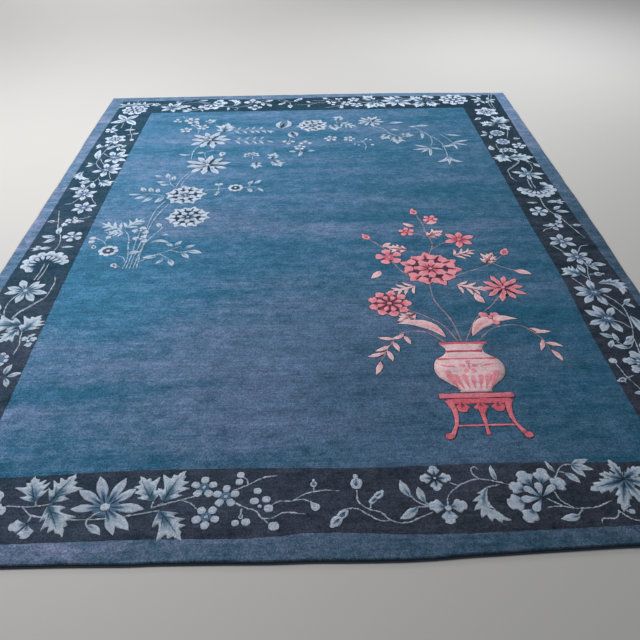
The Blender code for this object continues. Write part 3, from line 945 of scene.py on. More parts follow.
# Motifs about the origin, drawn in hundredths of their size. A leaf's root is at the origin and its
# tip at (100, 0).
MOTIFS = {
    "lily": disc(36, 0.36, 0) + petals("lance", (
        (-67, 16, 96, 13.5), (-42, 16, 116, 16), (-2, 16, 108, 16), (36, 18, 98, 13.5),
        (66, 16, 102, 14.5), (108, 16, 110, 16), (143, 16, 106, 15.5), (184, 16, 90, 13.5),
    ), 0.34, lift=1) + [("pad", -13, 0, 13, 0, 12, 0.0, 1.0, 1.0, 3)],
    "lily_six": disc(30, 0.36, 0) + petals("lance", (
        (98, 14, 95, 15.5), (166, 14, 100, 15), (213, 14, 80, 17), (-4, 14, 100, 15),
        (-50, 14, 108, 17.5), (262, 14, 88, 14),
    ), 0.50, lift=1) + disc(9, 0.85),
    "lily_eight": disc(26, 0.36, 0) + petals("lance", (
        (118, 16, 98, 18.5), (60, 16, 90, 16.5), (30, 16, 98, 17.5), (-13, 16, 108, 18.5),
        (-55, 16, 108, 18.5), (-96, 16, 100, 17), (194, 16, 96, 17), (163, 16, 98, 17),
    ), 0.45, lift=1) + disc(10, 0.85),
    "lily_open": disc(26, 0.36, 0) + petals("lance", (
        (85, 16, 102, 20.5), (150, 16, 98, 19), (190, 16, 96, 16.5), (232, 16, 108, 20),
        (282, 16, 102, 19.5), (15, 16, 90, 18.5),
    ), 0.36, lift=1) + disc(8, 0.90, 3, 6) + disc(6, 0.85, 3, -9, 4),
    "lily_wide": disc(26, 0.36, 0) + petals("lance", (
        (105, 16, 102, 20), (57, 16, 92, 19), (143, 16, 102, 17.5), (200, 16, 96, 18),
        (240, 16, 104, 19.5), (290, 16, 100, 19.5),
    ), 0.36, lift=1) + disc(8, 0.90, 3, 6) + disc(6, 0.85, 3, -9, 4),
    "small_lily": disc(24, 0.36, 0) + fan("lance", 12, 100, 6, 21.5, short=0.92, root=0.40, lift=1)
        + disc(12, 0.75),
    "plum": disc(40, 0.35, 0) + fan("pad", 36, 100, 5, 30, root=0.70, lift=1) + disc(15, 0.85),
    "rosette": (
        disc(64, 0.08, 0) + fan("cloud", 54, 100, 9, 26.5, root=0.50, lift=1)
        + fan("petal", 16, 60, 8, 12.5, 20.0, root=0.30, lift=2) + disc(12, 0.95, 3)
    ),
    "six_petals": fan("cloud", 24, 100, 6, 33, root=0.40)
        + fan("petal", 6, 34, 6, 8, 30.0, root=0.5, lift=2),
    "heart_blossom": (
        fan("cloud", 16, 102, 4, 40, root=0.40) + fan("lance", 12, 60, 4, 4.5, root=0.05, tip=0.3, lift=2)
        + disc(10, 0.80, 3)
    ),
    "trefoil": fan("cloud", 12, 100, 3, 42, spread=196.0, root=0.40) + disc(16, 0.95, 2, 5),
    "two_petals": petals("cloud", ((198, 12, 110, 46), (278, 16, 105, 46)), 0.45),
    "five_petals": disc(38, 0.40, 0) + fan("petal", 20, 100, 5, 35, root=0.50, lift=1) + disc(13),
    "ring_blossom": fan("pad", 54, 100, 8, 30, root=0.95) + disc(50, 0.10, 0) + disc(20, 0.9, 3),
    "soft_ring": disc(62, 0.40, 0) + fan("pad", 60, 100, 9, 24, root=0.70, tip=0.85, lift=1)
        + disc(16, 0.6, 3),
    "open_peony": petals("cloud", (
        (192, 50, 100, 24), (217, 54, 100, 25), (242, 54, 102, 25), (267, 54, 104, 25),
        (292, 54, 102, 25), (317, 54, 100, 25), (343, 50, 98, 25), (10, 48, 92, 25),
        (40, 42, 80, 22),
    ), 0.32) + petals("petal", (
        (200, 30, 70, 7.5), (222, 30, 66, 8), (245, 28, 68, 8.5), (268, 28, 66, 8.5),
        (291, 28, 68, 8.5), (314, 28, 66, 8.5), (338, 30, 68, 8), (2, 30, 62, 7.5),
    ), 0.35, 0.95, 2),
    "half_peony": petals("cloud", (
        (-95, 50, 105, 27.5), (-57, 50, 110, 26.5), (-21, 48, 105, 27.5), (17, 48, 98, 26),
        (57, 48, 106, 30), (97, 50, 103, 28.5),
    ), 0.28) + petals("petal", (
        (-93, 6, 62, 11.5), (-43, 6, 57, 11.5), (5, 6, 60, 11.5), (53, 6, 60, 12.5),
        (104, 6, 57, 11.5),
    ), 0.45, 1.0, 2),
    "full_peony": peony(11, (
        (14, 10, 66, 19), (62, 12, 58, 15), (108, 10, 62, 18), (160, 12, 60, 17),
        (208, 10, 66, 18), (258, 12, 58, 16), (310, 10, 64, 19),
    )),
    "field_peony": peony(13, (
        (10, 14, 60, 16.5), (60, 14, 56, 15), (112, 14, 60, 16.5), (162, 14, 56, 15),
        (213, 14, 60, 16.5), (264, 14, 56, 15), (314, 14, 60, 16.5),
    )),
    "lotus": (
        disc(54, 0.02, 0) + fan("lance", 26, 100, 10, 12.4, root=0.70, short=0.90, lift=1)
        + petals("lance", (
            (12, 6, 64, 10), (66, 6, 70, 10.5), (118, 6, 64, 10), (172, 6, 60, 9.5),
            (228, 10, 54, 8), (300, 10, 56, 8),
        ), 0.60, 1.0, 2) + disc(8, 0.9, 3)
    ),
    "tulip": [
        ("lance", 0, 2, 80, 12, 9, 0.20, 0.90, 1.0, 1),
        ("lance", 0, -2, 100, -4, 10, -0.24, 0.90, 1.0, 1),
        ("leaf", 6, 0, 78, 0, 16, 0.0, 0.10, 0.45, 0),
    ],
    "bud": [
        ("pad", 0, 0, 74, 0, 31, 0.0, 0.85, 1.0, 0), ("pad", 66, 0, 100, 0, 13, 0.0, 1.0, 1.0, 1),
        ("leaf", 22, 0, 66, 0, 12, 0.0, 0.50, 0.62, 2),
    ],
    "long_bud": [
        ("pad", 0, 0, 58, 2, 16.5, 0.0, 0.75, 1.0, 0), ("pad", 42, 0, 90, 0, 20, 0.0, 0.9, 1.0, 1),
        ("pad", 84, 0, 100, 2, 8.5, 0.0, 1.0, 1.0, 1), ("leaf", 16, 0, 46, 0, 7.5, 0.0, 0.40, 0.50, 2),
        ("leaf", 50, 2, 84, 0, 10.5, 0.0, 0.50, 0.60, 2),
    ],
    "drop": [("petal", 0, 0, 100, 0, 34, 0.0, 0.9, 1.0, 0)],
    "berry": [("pad", -100, 0, 100, 0, 94, 0.0, 0.95, 1.0, 0)],
    "leaf": [("leaf", -2, 0, 106, 0, 23.5, 0.05, 0.75, 1.0, 0)],
    "slim_leaf": [("leaf", 0, 0, 102, 0, 15, 0.06, 0.80, 1.0, 0)],
    "bamboo_leaf": [("leaf", 0, 0, 112, 0, 10.5, 0.04, 0.85, 1.0, 0)],
    "arc_leaf": [("leaf", 0, 0, 100, 0, 12, 0.22, 0.85, 1.0, 0)],
    "arc_leaf_back": [("leaf", 0, 0, 100, 0, 12, -0.22, 0.85, 1.0, 0)],
    "fern_leaf": [("finger", -2, 0, 104, 0, 5.5, 0.04, 0.80, 1.0, 1)] + [
        ("finger", x, y, x + dx, y + dy, 5.8, bow, 0.80, 1.0, 0) for x, y, dx, dy, bow in (
            (2, 3, 24, 38, -0.10), (24, 3, 30, 34, -0.10), (50, 3, 30, 24, -0.10),
            (6, -3, 26, -36, 0.10), (30, -3, 30, -31, 0.10), (55, -3, 28, -20, 0.10),
        )
    ],
    "maple": [("lobed", 0, 0, 100, 0, 42, 0.03, 0.85, 1.0, 0)] + LEAF_VEINS,
    "maple_back": [("back_lobed", 0, 0, 100, 0, 42, -0.03, 0.85, 1.0, 0)] + LEAF_VEINS,
    "wide_maple": [("lobed", 0, 0, 100, 0, 54, 0.03, 0.85, 1.0, 0)] + LEAF_VEINS,
    "veined_leaf": [
        ("leaf", 0, 0, 100, 0, 21.5, 0.05, 0.80, 1.0, 0), ("leaf", 2, 0, 86, 0, 3.5, 0.05, 0.05, 0.35, 1),
    ],
    "vine_leaf": petals("lobe", (
        (0, 2, 105, 24), (50, 2, 102, 20), (93, 2, 86, 17), (-36, 2, 62, 17),
        (-92, 2, 70, 16), (-160, 2, 72, 18), (150, 2, 74, 18),
    ), 0.42, lift=1) + petals("leaf", (
        (0, 5, 80, 3), (50, 5, 76, 2.8), (93, 5, 62, 2.4), (-36, 5, 44, 2.2),
        (-92, 5, 50, 2.2), (-160, 5, 50, 2.2), (150, 5, 50, 2.2),
    ), 0.05, 0.45, 3),
    "trident": petals("leaf", ((30, 0, 92, 17), (-2, 0, 102, 17), (-40, 0, 86, 18)), 0.65),
    "crescent": [("comb", 0, 0, 100, 0, 36, 0.45, 0.85, 1.0, 0)],
    "crescent_back": [("back_comb", 0, 0, 100, 0, 30, -0.34, 0.85, 1.0, 0)],
    "leaf_cluster": fan("lobe", 0, 100, 4, 20, spread=190.0, root=0.60, lift=1),
}


def set_out(table):
    """Stroke rows in metres for a table of motifs (name, and for each copy x, y and size in mm and
    turn in degrees): each row of the motif is made larger, turned and moved."""
    rows = []
    for name, place in [(name, place) for name, *places in table for place in places]:
        x, y, size = np.divide(place[:3], MM_IN_METRE)
        share = size / 100
        c, s = share * np.cos(np.radians(place[3])), share * np.sin(np.radians(place[3]))
        for shape, x0, y0, x1, y1, half, *rest in MOTIFS[name]:
            root = x + c * x0 - s * y0, y + s * x0 + c * y0
            tip = x + c * x1 - s * y1, y + s * x1 + c * y1
            rows.append((shape, *root, *tip, share * half, *rest))
    return rows


def drifted(x, y, drift):
    """A point turned half a circle about the middle of the drawing, then moved by what the rows of
    drift (place along, aside, along) say there, straight from one row to the next."""
    places, aside, along = np.array(drift).T
    return -x + np.interp(-y, places, aside), -y + np.interp(-y, places, along)


def half_turned(table, drift):
    """The same motifs turned half a circle and drifted."""
    return [
        (name, *((*drifted(x, y, drift), size, turn + 180) for x, y, size, turn in places))
        for name, *places in table
    ]


def half_turned_stems(lines, drift):
    """The same stems turned half a circle and drifted."""
    return [np.column_stack(drifted(*np.reshape(line, (-1, 2)).T, drift)) for line in lines]


# columns: motif, and for each copy x, y, size, turn; the near end from left to right
NEAR_FLOWERS = (
    ("rosette", (-1000, -1650, 100, 0)), ("two_petals", (-820, -1695, 48, 0)),
    ("lily", (-612, -1645, 106, 0)), ("plum", (-332, -1583, 40, 90), (-265, -1618, 40, 90),
    (-315, -1688, 40, 54)), ("berry", (-180, -1637, 13, 0), (-146, -1632, 12, 0), (-138, -1663, 13, 0),
    (-164, -1656, 6, 0), (-226, -1540, 12, 0), (-228, -1566, 12, 0), (-172, -1601, 12, 0),
    (-121, -1724, 15, 0), (-230, -1711, 11, 0), (-201, -1708, 12, 0)), ("bud", (-216, -1698, 22, 90),
    (-6, -1592, 30, 92)), ("drop", (-18, -1642, 38, -52)), ("bud", (120, -1603, 55, 90)),
    ("long_bud", (156, -1656, 62, 46), (90, -1674, 78, 229)), ("heart_blossom", (358, -1570, 46, 0)),
    ("trefoil", (380, -1675, 58, 270)), ("half_peony", (658, -1650, 100, 133)),
    ("berry", (900, -1705, 9, 0)),
)
NEAR_LEAVES = (
    ("wide_maple", (-822, -1622, 100, 110)), ("maple_back", (-778, -1625, 118, 62)),
    ("maple", (-780, -1636, 122, -57)), ("leaf", (-648, -1706, 52, -38)),
    ("maple_back", (-476, -1630, 108, 118)), ("maple", (-446, -1632, 118, 66)),
    ("maple_back", (-452, -1664, 118, -52)), ("leaf", (277, -1635, 60, 115), (316, -1655, 56, 104),
    (292, -1672, 62, 216)), ("crescent_back", (508, -1607, 122, -70)), ("slim_leaf", (541, -1583, 58, 94),
    (724, -1557, 44, 112)), ("leaf", (753, -1562, 48, -48), (748, -1714, 54, 188)),
    ("trident", (780, -1532, 68, -14)), ("vine_leaf", (920, -1592, 115, 196)),
    ("maple", (1010, -1640, 75, -40)),
)
# one stem a row: x and y of its points
NEAR_VINES = (
    (-900, -1632, -850, -1637, -800, -1634, -768, -1628),
    (-852, -1638, -828, -1662, -780, -1676, -700, -1686, -610, -1685, -530, -1675, -452, -1662),
    (-816, -1666, -822, -1690), (-815, -1635, -822, -1615), (-655, -1688, -652, -1703, -635, -1722),
    (-655, -1688, -640, -1672, -622, -1660), (-478, -1652, -440, -1640, -400, -1628, -345, -1612),
    (-395, -1628, -365, -1640, -345, -1660), (-474, -1625, -478, -1652), (-446, -1636, -462, -1646),
    (-248, -1600, -200, -1577, -155, -1552, -115, -1546), (-202, -1577, -208, -1556, -224, -1548),
    (-245, -1636, -200, -1662, -175, -1671, -152, -1698, -128, -1697, -100, -1682, -30, -1686),
    (-150, -1700, -138, -1714), (-215, -1662, -218, -1692),
    (-140, -1662, -110, -1641, -70, -1640, -40, -1620, 20, -1605, 72, -1607), (-6, -1612, -6, -1592),
    (-65, -1638, -35, -1636, -18, -1645),
    (120, -1607, 124, -1648, 150, -1674, 190, -1690, 205, -1710, 250, -1724, 300, -1705, 335, -1690),
    (88, -1672, 112, -1671, 150, -1695, 180, -1714, 205, -1716), (160, -1650, 154, -1678),
    (277, -1632, 296, -1655, 325, -1670), (292, -1672, 330, -1670), (316, -1655, 330, -1668),
    (380, -1672, 385, -1640, 425, -1600, 490, -1577, 540, -1588, 600, -1612), (425, -1600, 400, -1588),
    (490, -1577, 474, -1556, 476, -1534, 486, -1530, 493, -1541), (508, -1607, 545, -1600),
    (665, -1684, 700, -1681, 750, -1690, 800, -1688, 860, -1664), (700, -1628, 708, -1658, 742, -1690),
    (672, -1654, 716, -1684), (745, -1712, 762, -1694), (716, -1586, 730, -1560, 757, -1532, 785, -1530),
    (753, -1562, 736, -1556), (865, -1700, 850, -1724, 806, -1730, 802, -1742),
    (865, -1705, 895, -1732, 930, -1738), (905, -1686, 890, -1692, 888, -1706, 900, -1705),
    (925, -1640, 970, -1655, 1010, -1640),
)
# the right side from the far corner to the near one
RIGHT_FLOWERS = (
    ("six_petals", (1175, 1430, 78, 90)), ("bud", (1112, 1318, 50, 215)),
    ("soft_ring", (1162, 1065, 45, 0)), ("bud", (1240, 975, 40, 0)), ("soft_ring", (1165, 932, 42, 10)),
    ("plum", (1245, 868, 42, 0)), ("open_peony", (1192, 318, 108, 0)), ("trident", (1250, 160, 46, 3)),
    ("five_petals", (1135, 62, 47, 80)), ("trefoil", (1182, -62, 42, 300)), ("bud", (1150, -76, 34, 178),
    (1160, -95, 34, 300), (1262, -80, 34, 0)), ("small_lily", (1160, -225, 68, 84), (1187, -360, 68, 90)),
    ("bud", (1215, -500, 44, 0)), ("lily_open", (1168, -634, 88, 0)), ("lily_wide", (1158, -812, 90, 0)),
    ("six_petals", (1188, -1075, 68, -75)), ("bud", (1095, -1155, 36, 200)),
    ("berry", (1085, -1060, 14, 0)), ("plum", (1245, -1220, 40, 40)), ("rosette", (1168, -1578, 86, 0)),
)
RIGHT_LEAVES = (
    ("leaf_cluster", (1180, 1645, 64, 190), (1232, 1640, 56, 345)), ("leaf", (1128, 1745, 50, -38),
    (1168, 1742, 40, -20), (1160, 1585, 44, 240)), ("wide_maple", (1178, 1205, 92, 160),
    (1195, 1225, 132, 56)), ("maple", (1205, 1205, 100, -62)), ("leaf", (1100, 1060, 45, 118),
    (1095, 1050, 46, 205), (1110, 1035, 52, 262)), ("wide_maple", (1128, 748, 108, 246)),
    ("maple_back", (1145, 706, 142, 1)), ("leaf", (1262, 622, 56, -68)),
    ("slim_leaf", (1158, 158, 56, 182)), ("leaf", (1205, 158, 56, 2), (1215, 75, 55, 40),
    (1220, 60, 62, -8), (1208, 40, 62, -84), (1215, -425, 48, 62), (1228, -425, 62, 0),
    (1215, -430, 50, -60), (1165, -425, 62, -76)), ("wide_maple", (1158, -502, 92, 142)),
    ("leaf", (1262, -715, 44, 40), (1262, -715, 40, -40)), ("slim_leaf", (1252, -795, 125, -84)),
    ("leaf", (1262, -960, 44, -80), (1226, -962, 42, -100), (1235, -965, 50, -8), (1180, -950, 44, 40),
    (1205, -945, 50, 205), (1170, -990, 52, 160), (1140, -925, 50, 150), (1255, -975, 40, 60)),
    ("veined_leaf", (1185, -1400, 112, 308), (1185, -1400, 100, 229), (1185, -1400, 112, 30),
    (1185, -1395, 115, 131)), ("leaf", (1150, -950, 46, 100), (1105, -985, 44, 60),
    (1160, -1215, 44, 205), (1245, -1262, 40, 250), (1142, -1225, 45, 180)),
    ("leaf_cluster", (1235, -1668, 60, 300), (1125, -1672, 58, 240), (1180, -1680, 50, 270)),
)
# what only the right side has, and what only the left side has
RIGHT_OWN = (
    ("lily_six", (1195, 490, 88, 0)), ("crescent", (1205, -570, 112, -50)),
    ("half_peony", (1162, 790, 50, 80)), ("bud", (1075, 815, 58, 92)),
)
LEFT_OWN = (
    ("lily_eight", (-1207, -532, 90, 0)), ("crescent_back", (-1262, 632, 112, -63)),
    ("leaf", (-1200, 488, 50, 178)), ("maple", (-1150, -795, 95, 238)),
    ("trefoil", (-1088, -872, 36, 35)), ("leaf", (-1098, -850, 34, 40)),
)
RIGHT_VINES = (
    (1262, 1752, 1240, 1660, 1224, 1550, 1235, 1475), (1282, 1752, 1258, 1660, 1242, 1550, 1250, 1475),
    (1200, 1345, 1190, 1280, 1178, 1215), (1222, 1340, 1235, 1240, 1240, 1120, 1225, 1060, 1205, 990),
    (1116, 900, 1113, 840, 1125, 780, 1130, 735),
    (1192, 672, 1180, 640, 1135, 585, 1102, 545, 1094, 480, 1098, 430, 1112, 400),
    (1228, 665, 1243, 600, 1236, 550, 1214, 510, 1195, 490), (1245, 645, 1262, 630),
    (1176, 425, 1170, 370, 1172, 310), (1192, 425, 1188, 370, 1190, 310),
    (1182, 205, 1178, 130, 1192, 60, 1222, 0, 1242, -80, 1262, -150, 1276, -200),
    (1100, -132, 1118, -112, 1140, -105, 1160, -85), (1242, -80, 1262, -80),
    (1222, 0, 1205, -30, 1190, -50), (1106, -262, 1125, -290, 1145, -335, 1160, -360),
    (1195, -335, 1215, -300, 1235, -270, 1268, -262), (1200, -400, 1205, -430, 1190, -490, 1180, -550),
    (1240, -430, 1205, -430), (1160, -500, 1178, -530), (1215, -500, 1192, -500),
    (1110, -525, 1128, -560, 1145, -600),
    (1200, -650, 1228, -690, 1246, -740, 1244, -800, 1232, -870, 1212, -930), (1246, -730, 1262, -715),
    (1190, -700, 1212, -740, 1236, -800), (1175, -820, 1200, -835, 1225, -870),
    (1212, -930, 1205, -990, 1195, -1040), (1212, -940, 1170, -990, 1140, -950),
    (1095, -1155, 1130, -1140), (1195, -1150, 1225, -1200), (1245, -1250, 1225, -1320),
    (1130, -1310, 1122, -1200, 1100, -1135, 1092, -1080, 1085, -1040),
    (1108, -1150, 1090, -1158, 1088, -1178), (1195, 668, 1183, 636, 1138, 581, 1105, 541),
    (1192, -1260, 1192, -1350), (1180, -1670, 1175, -1760),
)
# How far the flowers of the far and the left side lie from the half-turned ones.
# columns: place along, aside, along, all in mm
FAR_DRIFT = ((-2000, 0, 16), (2000, 0, 16))
LEFT_DRIFT = (
    (-1800, 0, -40), (-1040, 0, -22), (-930, 0, -45), (-750, 0, -65), (-520, -10, -45), (-320, 0, -12),
    (-200, 0, -30), (-80, 5, -28), (50, 0, -15), (200, 8, -30), (360, 0, -12), (600, 28, 10),
    (820, 24, 0), (1000, 0, 8), (1800, 0, 0),
)
FLOWER_SHEEN = 0.08
FLOWER_GRAIN = 0.55
TONE_WOBBLE = 0.24   # how far the flecks of the wool shift a shape's tone


def flower_wool(name, stops, strength=1.0, slope=0.0):
    """Pale knotted wool: the mark on the shape picks its tone from the stops (mark, colour). Its
    brightness is strength at the carpet's middle and grows by slope a metre to the far end, which
    is painted light."""
    material, tree, shader, pile = wool_material(name, FLOWER_SHEEN, FLOWER_GRAIN)
    ramp = tree.nodes.new("ShaderNodeValToRGB")
    ramp.color_ramp.interpolation = "EASE"
    while len(ramp.color_ramp.elements) < len(stops):
        ramp.color_ramp.elements.new(0.5)
    for element, (place, colour) in zip(ramp.color_ramp.elements, stops):
        element.position = place
        element.color = colour
    wobble = worked(tree, "MULTIPLY_ADD", pile["Fleck"], TONE_WOBBLE, -TONE_WOBBLE / 2)
    tree.links.new(worked(tree, "ADD", mark_of(tree), wobble), ramp.inputs["Fac"])
    bright = worked(tree, "MULTIPLY", pile["Tone"], sloped(tree, strength, slope))
    toned(tree, shader, ramp.outputs["Color"], bright)
    return material


PETAL_STOPS = (
    (0.0, (0.018, 0.045, 0.080, 1.0)), (0.35, (0.130, 0.225, 0.360, 1.0)),
    (0.70, (0.460, 0.567, 0.722, 1.0)), (1.0, (0.602, 0.692, 0.835, 1.0)),
)
LEAF_STOPS = (
    (0.0, (0.018, 0.050, 0.085, 1.0)), (0.35, (0.115, 0.215, 0.330, 1.0)),
    (0.70, (0.436, 0.550, 0.688, 1.0)), (1.0, (0.588, 0.690, 0.812, 1.0)),
)
VINE_STOPS = (
    (0.0, (0.070, 0.100, 0.140, 1.0)), (0.5, (0.300, 0.380, 0.480, 1.0)),
    (1.0, (0.580, 0.670, 0.790, 1.0)),
)
# The band's petals and leaves are painted lighter towards the far end: painted light.
petal_blue = flower_wool("petal_wool", PETAL_STOPS, strength=1.03, slope=0.08)
leaf_blue = flower_wool("leaf_wool", LEAF_STOPS, strength=1.04, slope=0.08)
vine_grey = flower_wool("vine_wool", VINE_STOPS)

VINE_HALF_WIDTH = 0.0021
PETAL_RIM = 0.0012   # the dark line of knots round each petal
far_side = [half_turned(table, FAR_DRIFT) for table in (NEAR_FLOWERS, NEAR_LEAVES)]
left_side = [half_turned(table, LEFT_DRIFT) for table in (RIGHT_FLOWERS, RIGHT_LEAVES)]
band_sides = (
    ("near", NEAR_FLOWERS, NEAR_LEAVES, NEAR_VINES),
    ("right", RIGHT_FLOWERS, RIGHT_LEAVES + RIGHT_OWN, RIGHT_VINES),
    ("far", *far_side, half_turned_stems(NEAR_VINES, FAR_DRIFT)),
    ("left", left_side[0], left_side[1] + list(LEFT_OWN), half_turned_stems(RIGHT_VINES, LEFT_DRIFT)),
)
for side, flowers, leaves, vines in band_sides:
    laid("band_flowers_" + side, strokes_net(set_out(flowers), PETAL_RIM), petal_blue)
    laid("band_leaves_" + side, strokes_net(set_out(leaves)), leaf_blue)
    laid("band_vines_" + side, stems_net(vines, VINE_HALF_WIDTH, 1.0), vine_grey)


# ---- the spray in the field ---------------------------------------------------------------------
# A loose spray of peonies, pointed blossoms, leaves and bamboo in pale blue wool climbs from a bunch
# of stems at the left and leans over to the right. Gaps in the big flowers are filled with navy.

# columns: motif, and for each copy x, y, size, turn
SPRAY_FLOWERS = (
    ("field_peony", (-607, 80, 103, 10)), ("full_peony", (-652, 318, 102, 25)),
    ("lotus", (-577, 685, 136, 84), (-602, 1045, 134, 70)), ("ring_blossom", (-930, -226, 46, 0),
    (-395, 390, 41, 0)), ("trefoil", (-815, -50, 44, 75), (-802, -128, 42, 60)),
    ("berry", (-1030, -108, 15, 0), (-1028, -140, 14, 0), (-957, -105, 12, 0)),
    ("bud", (-1000, -205, 36, 110), (-885, -335, 44, 300)), ("berry", (-500, 435, 10, 0),
    (-477, 437, 11, 0)), ("bud", (-485, 352, 30, 270)), ("berry", (-492, 318, 9, 0)),
    ("bud", (-503, 860, 62, 262)), ("half_peony", (-335, 800, 46, 95)),
    ("trefoil", (-842, 1372, 34, 210)), ("plum", (-752, 1365, 50, 40)),
    ("trefoil", (-722, 1300, 34, 320)), ("plum", (-772, 1210, 40, 90), (-668, 1250, 38, 70)),
    ("tulip", (-172, 1205, 148, 78)), ("full_peony", (25, 1246, 96, 45)), ("lotus", (400, 1298, 92, 60)),
    ("plum", (134, 1030, 42, 100), (247, 1020, 36, 70)), ("trefoil", (-122, 992, 38, 270),
    (-20, 970, 38, 90)), ("plum", (-55, 905, 36, 90)), ("tulip", (-105, 1148, 100, 282)),
    ("berry", (350, 1012, 9, 0), (374, 1000, 8, 0), (276, 940, 7, 0), (300, 925, 7, 0),
    (381, 926, 11, 0)),
)
SPRAY_LEAVES = (
    ("leaf", (-840, -256, 60, 20)), ("fern_leaf", (-905, -32, 135, 152), (-895, -18, 125, 52),
    (-893, -62, 90, 182)), ("leaf", (-722, -18, 50, 118), (-712, -90, 36, 0)),
    ("arc_leaf", (-750, -162, 90, -4)), ("leaf", (-672, -172, 40, -40), (-628, -192, 46, 58),
    (-576, -216, 46, 34), (-565, -244, 68, -14), (-590, -262, 52, -48), (-700, -280, 62, 186),
    (-668, -305, 42, 234), (-640, -310, 56, 292)), ("slim_leaf", (-885, 335, 68, 180)),
    ("leaf", (-860, 316, 58, 212), (-822, 300, 60, 228), (-765, 300, 68, 240), (-868, 365, 56, 118),
    (-830, 358, 58, 110), (-798, 350, 48, 100), (-808, 540, 50, 154), (-770, 528, 52, 106),
    (-738, 490, 54, 94), (-780, 474, 50, 172), (-756, 444, 50, 178), (-328, 425, 48, 62),
    (-292, 428, 54, 62), (-330, 382, 50, 298)), ("slim_leaf", (-280, 385, 55, 306), (-690, 828, 72, 176)),
    ("leaf", (-660, 850, 44, 6)), ("maple", (-300, 715, 98, 266), (-212, 740, 95, 78),
    (-208, 728, 98, 300), (-528, 1155, 165, 86), (-662, 1322, 85, 38), (188, 1315, 94, 76),
    (150, 1262, 110, 285)), ("fern_leaf", (205, 1278, 125, 322)), ("slim_leaf", (512, 1256, 92, 8)),
    ("leaf", (508, 1150, 52, 0), (688, 1198, 46, 176)), ("slim_leaf", (665, 1198, 90, 6)),
    ("maple", (490, 1085, 95, 238), (538, 1050, 115, 268), (560, 1062, 92, 355)),
    ("leaf", (-70, 848, 44, 178), (-10, 846, 44, 8)), ("slim_leaf", (-46, 850, 72, 262)),
    ("bamboo_leaf", (696, 1100, 92, 264), (835, 1056, 88, -14), (715, 866, 85, 152), (712, 860, 92, 192),
    (708, 858, 72, 230), (712, 862, 105, 266), (714, 864, 72, -22)), ("arc_leaf", (872, 928, 95, 205)),
    ("bamboo_leaf", (858, 924, 98, 20), (860, 922, 78, -22), (856, 924, 78, 282)),
    ("arc_leaf", (800, 742, 100, 222)), ("bamboo_leaf", (800, 740, 102, 266)),
    ("arc_leaf_back", (802, 742, 104, 312)),
)
# columns: place along of a twig, places across of the leaves above it, and of those below it
TWIGS = (
    (1190, (-442, -390, -352, -303), (-466, -415, -370, -338, -296, -262)),
    (1028, (-432, -382, -337, -290), (-446, -398, -348, -306)),
)
for y, above, below in TWIGS:
    upper_leaves = [(x, y + 8, 42, 68) for x in above]
    lower_leaves = [(x, y - 6, 58, -56) for x in below]
    SPRAY_LEAVES += (("slim_leaf", *upper_leaves, *lower_leaves, (-262, y - 12, 56, -30)),)
# one stem a row: x and y of its points
SPRAY_STEMS = (
    (-832, -380, -828, -300, -845, -200, -862, -100, -898, -30),
    (-817, -380, -815, -250, -820, -140, -815, -60),
    (-802, -380, -800, -250, -792, -120, -790, 0, -786, 100, -768, 200, -742, 260),
    (-787, -380, -783, -270, -772, -160, -736, -70, -704, 0),
    (-772, -380, -776, -280, -778, -150, -780, -20, -757, 120, -722, 230),
    (-770, -325, -720, -278, -660, -240, -620, -210, -600, -196), (-645, -232, -600, -250, -560, -246),
    (-690, -262, -650, -295), (-835, -320, -850, -285, -885, -268), (-845, -365, -862, -352),
    (-1012, -112, -972, -140, -950, -180), (-958, -112, -966, -138), (-760, 308, -820, 334, -885, 336),
    (-765, 530, -755, 465, -720, 405), (-716, 410, -702, 500, -664, 600),
    (-691, 410, -680, 500, -640, 600), (-555, 370, -490, 378, -440, 388),
    (-352, 392, -330, 396, -286, 398), (-490, 430, -484, 395, -486, 355), (-325, 395, -320, 430),
    (-645, 985, -672, 920, -684, 840, -680, 760), (-602, 790, -606, 860, -575, 880, -515, 876),
    (-330, 792, -325, 748), (-822, 1445, -795, 1400, -765, 1330, -715, 1260, -690, 1190, -690, 1130),
    (-740, 1290, -712, 1250), (-655, 1300, -690, 1190), (-770, 1215, -730, 1245),
    (-462, 1190, -360, 1190, -262, 1180), (-455, 1028, -350, 1028, -265, 1018),
    (-112, 1055, -116, 1020, -120, 1000), (-55, 885, -50, 850), (182, 1305, 185, 1270),
    (415, 1215, 465, 1175, 490, 1130, 495, 1085), (490, 1110, 515, 1080, 540, 1052),
    (312, 992, 335, 955, 342, 910, 330, 850), (350, 1010, 325, 975), (670, 1170, 698, 1130, 712, 1090),
    (716, 1100, 738, 1050, 745, 980, 736, 920, 718, 878), (752, 1030, 785, 965, 800, 905, 792, 870),
    (812, 1062, 845, 985, 862, 935), (802, 880, 801, 800, 800, 742),
)

spray_petal_blue = flower_wool("spray_petal_wool", PETAL_STOPS, strength=0.96)
spray_leaf_blue = flower_wool("spray_leaf_wool", LEAF_STOPS, strength=0.95)
spray_petals = strokes_net(set_out(SPRAY_FLOWERS), PETAL_RIM)
laid("spray_flowers", spray_petals, spray_petal_blue)
laid("spray_leaves", strokes_net(set_out(SPRAY_LEAVES)), spray_leaf_blue)
laid("spray_stems", stems_net(SPRAY_STEMS, VINE_HALF_WIDTH, 1.0), vine_grey)


# ---- the bowl of flowers in the field -----------------------------------------------------------
# At the near right stands a plain footed bowl on a low stand, with an ordinary arrangement of
# blossoms and leaves, in coral, blush and grey-blue wool. Shapes lie on each other in small steps.

BOWL_X = 560
BOWL_FOOT = -1205
BOWL_RIM = -935
STAND_TOP = -1222
STAND_FOOT = -1405
OUTLINE = 0.0022   # the navy line of knots round each shape
POT_STEM_HALF_WIDTH = 0.0024
POT_STEM_MARK = 0.75

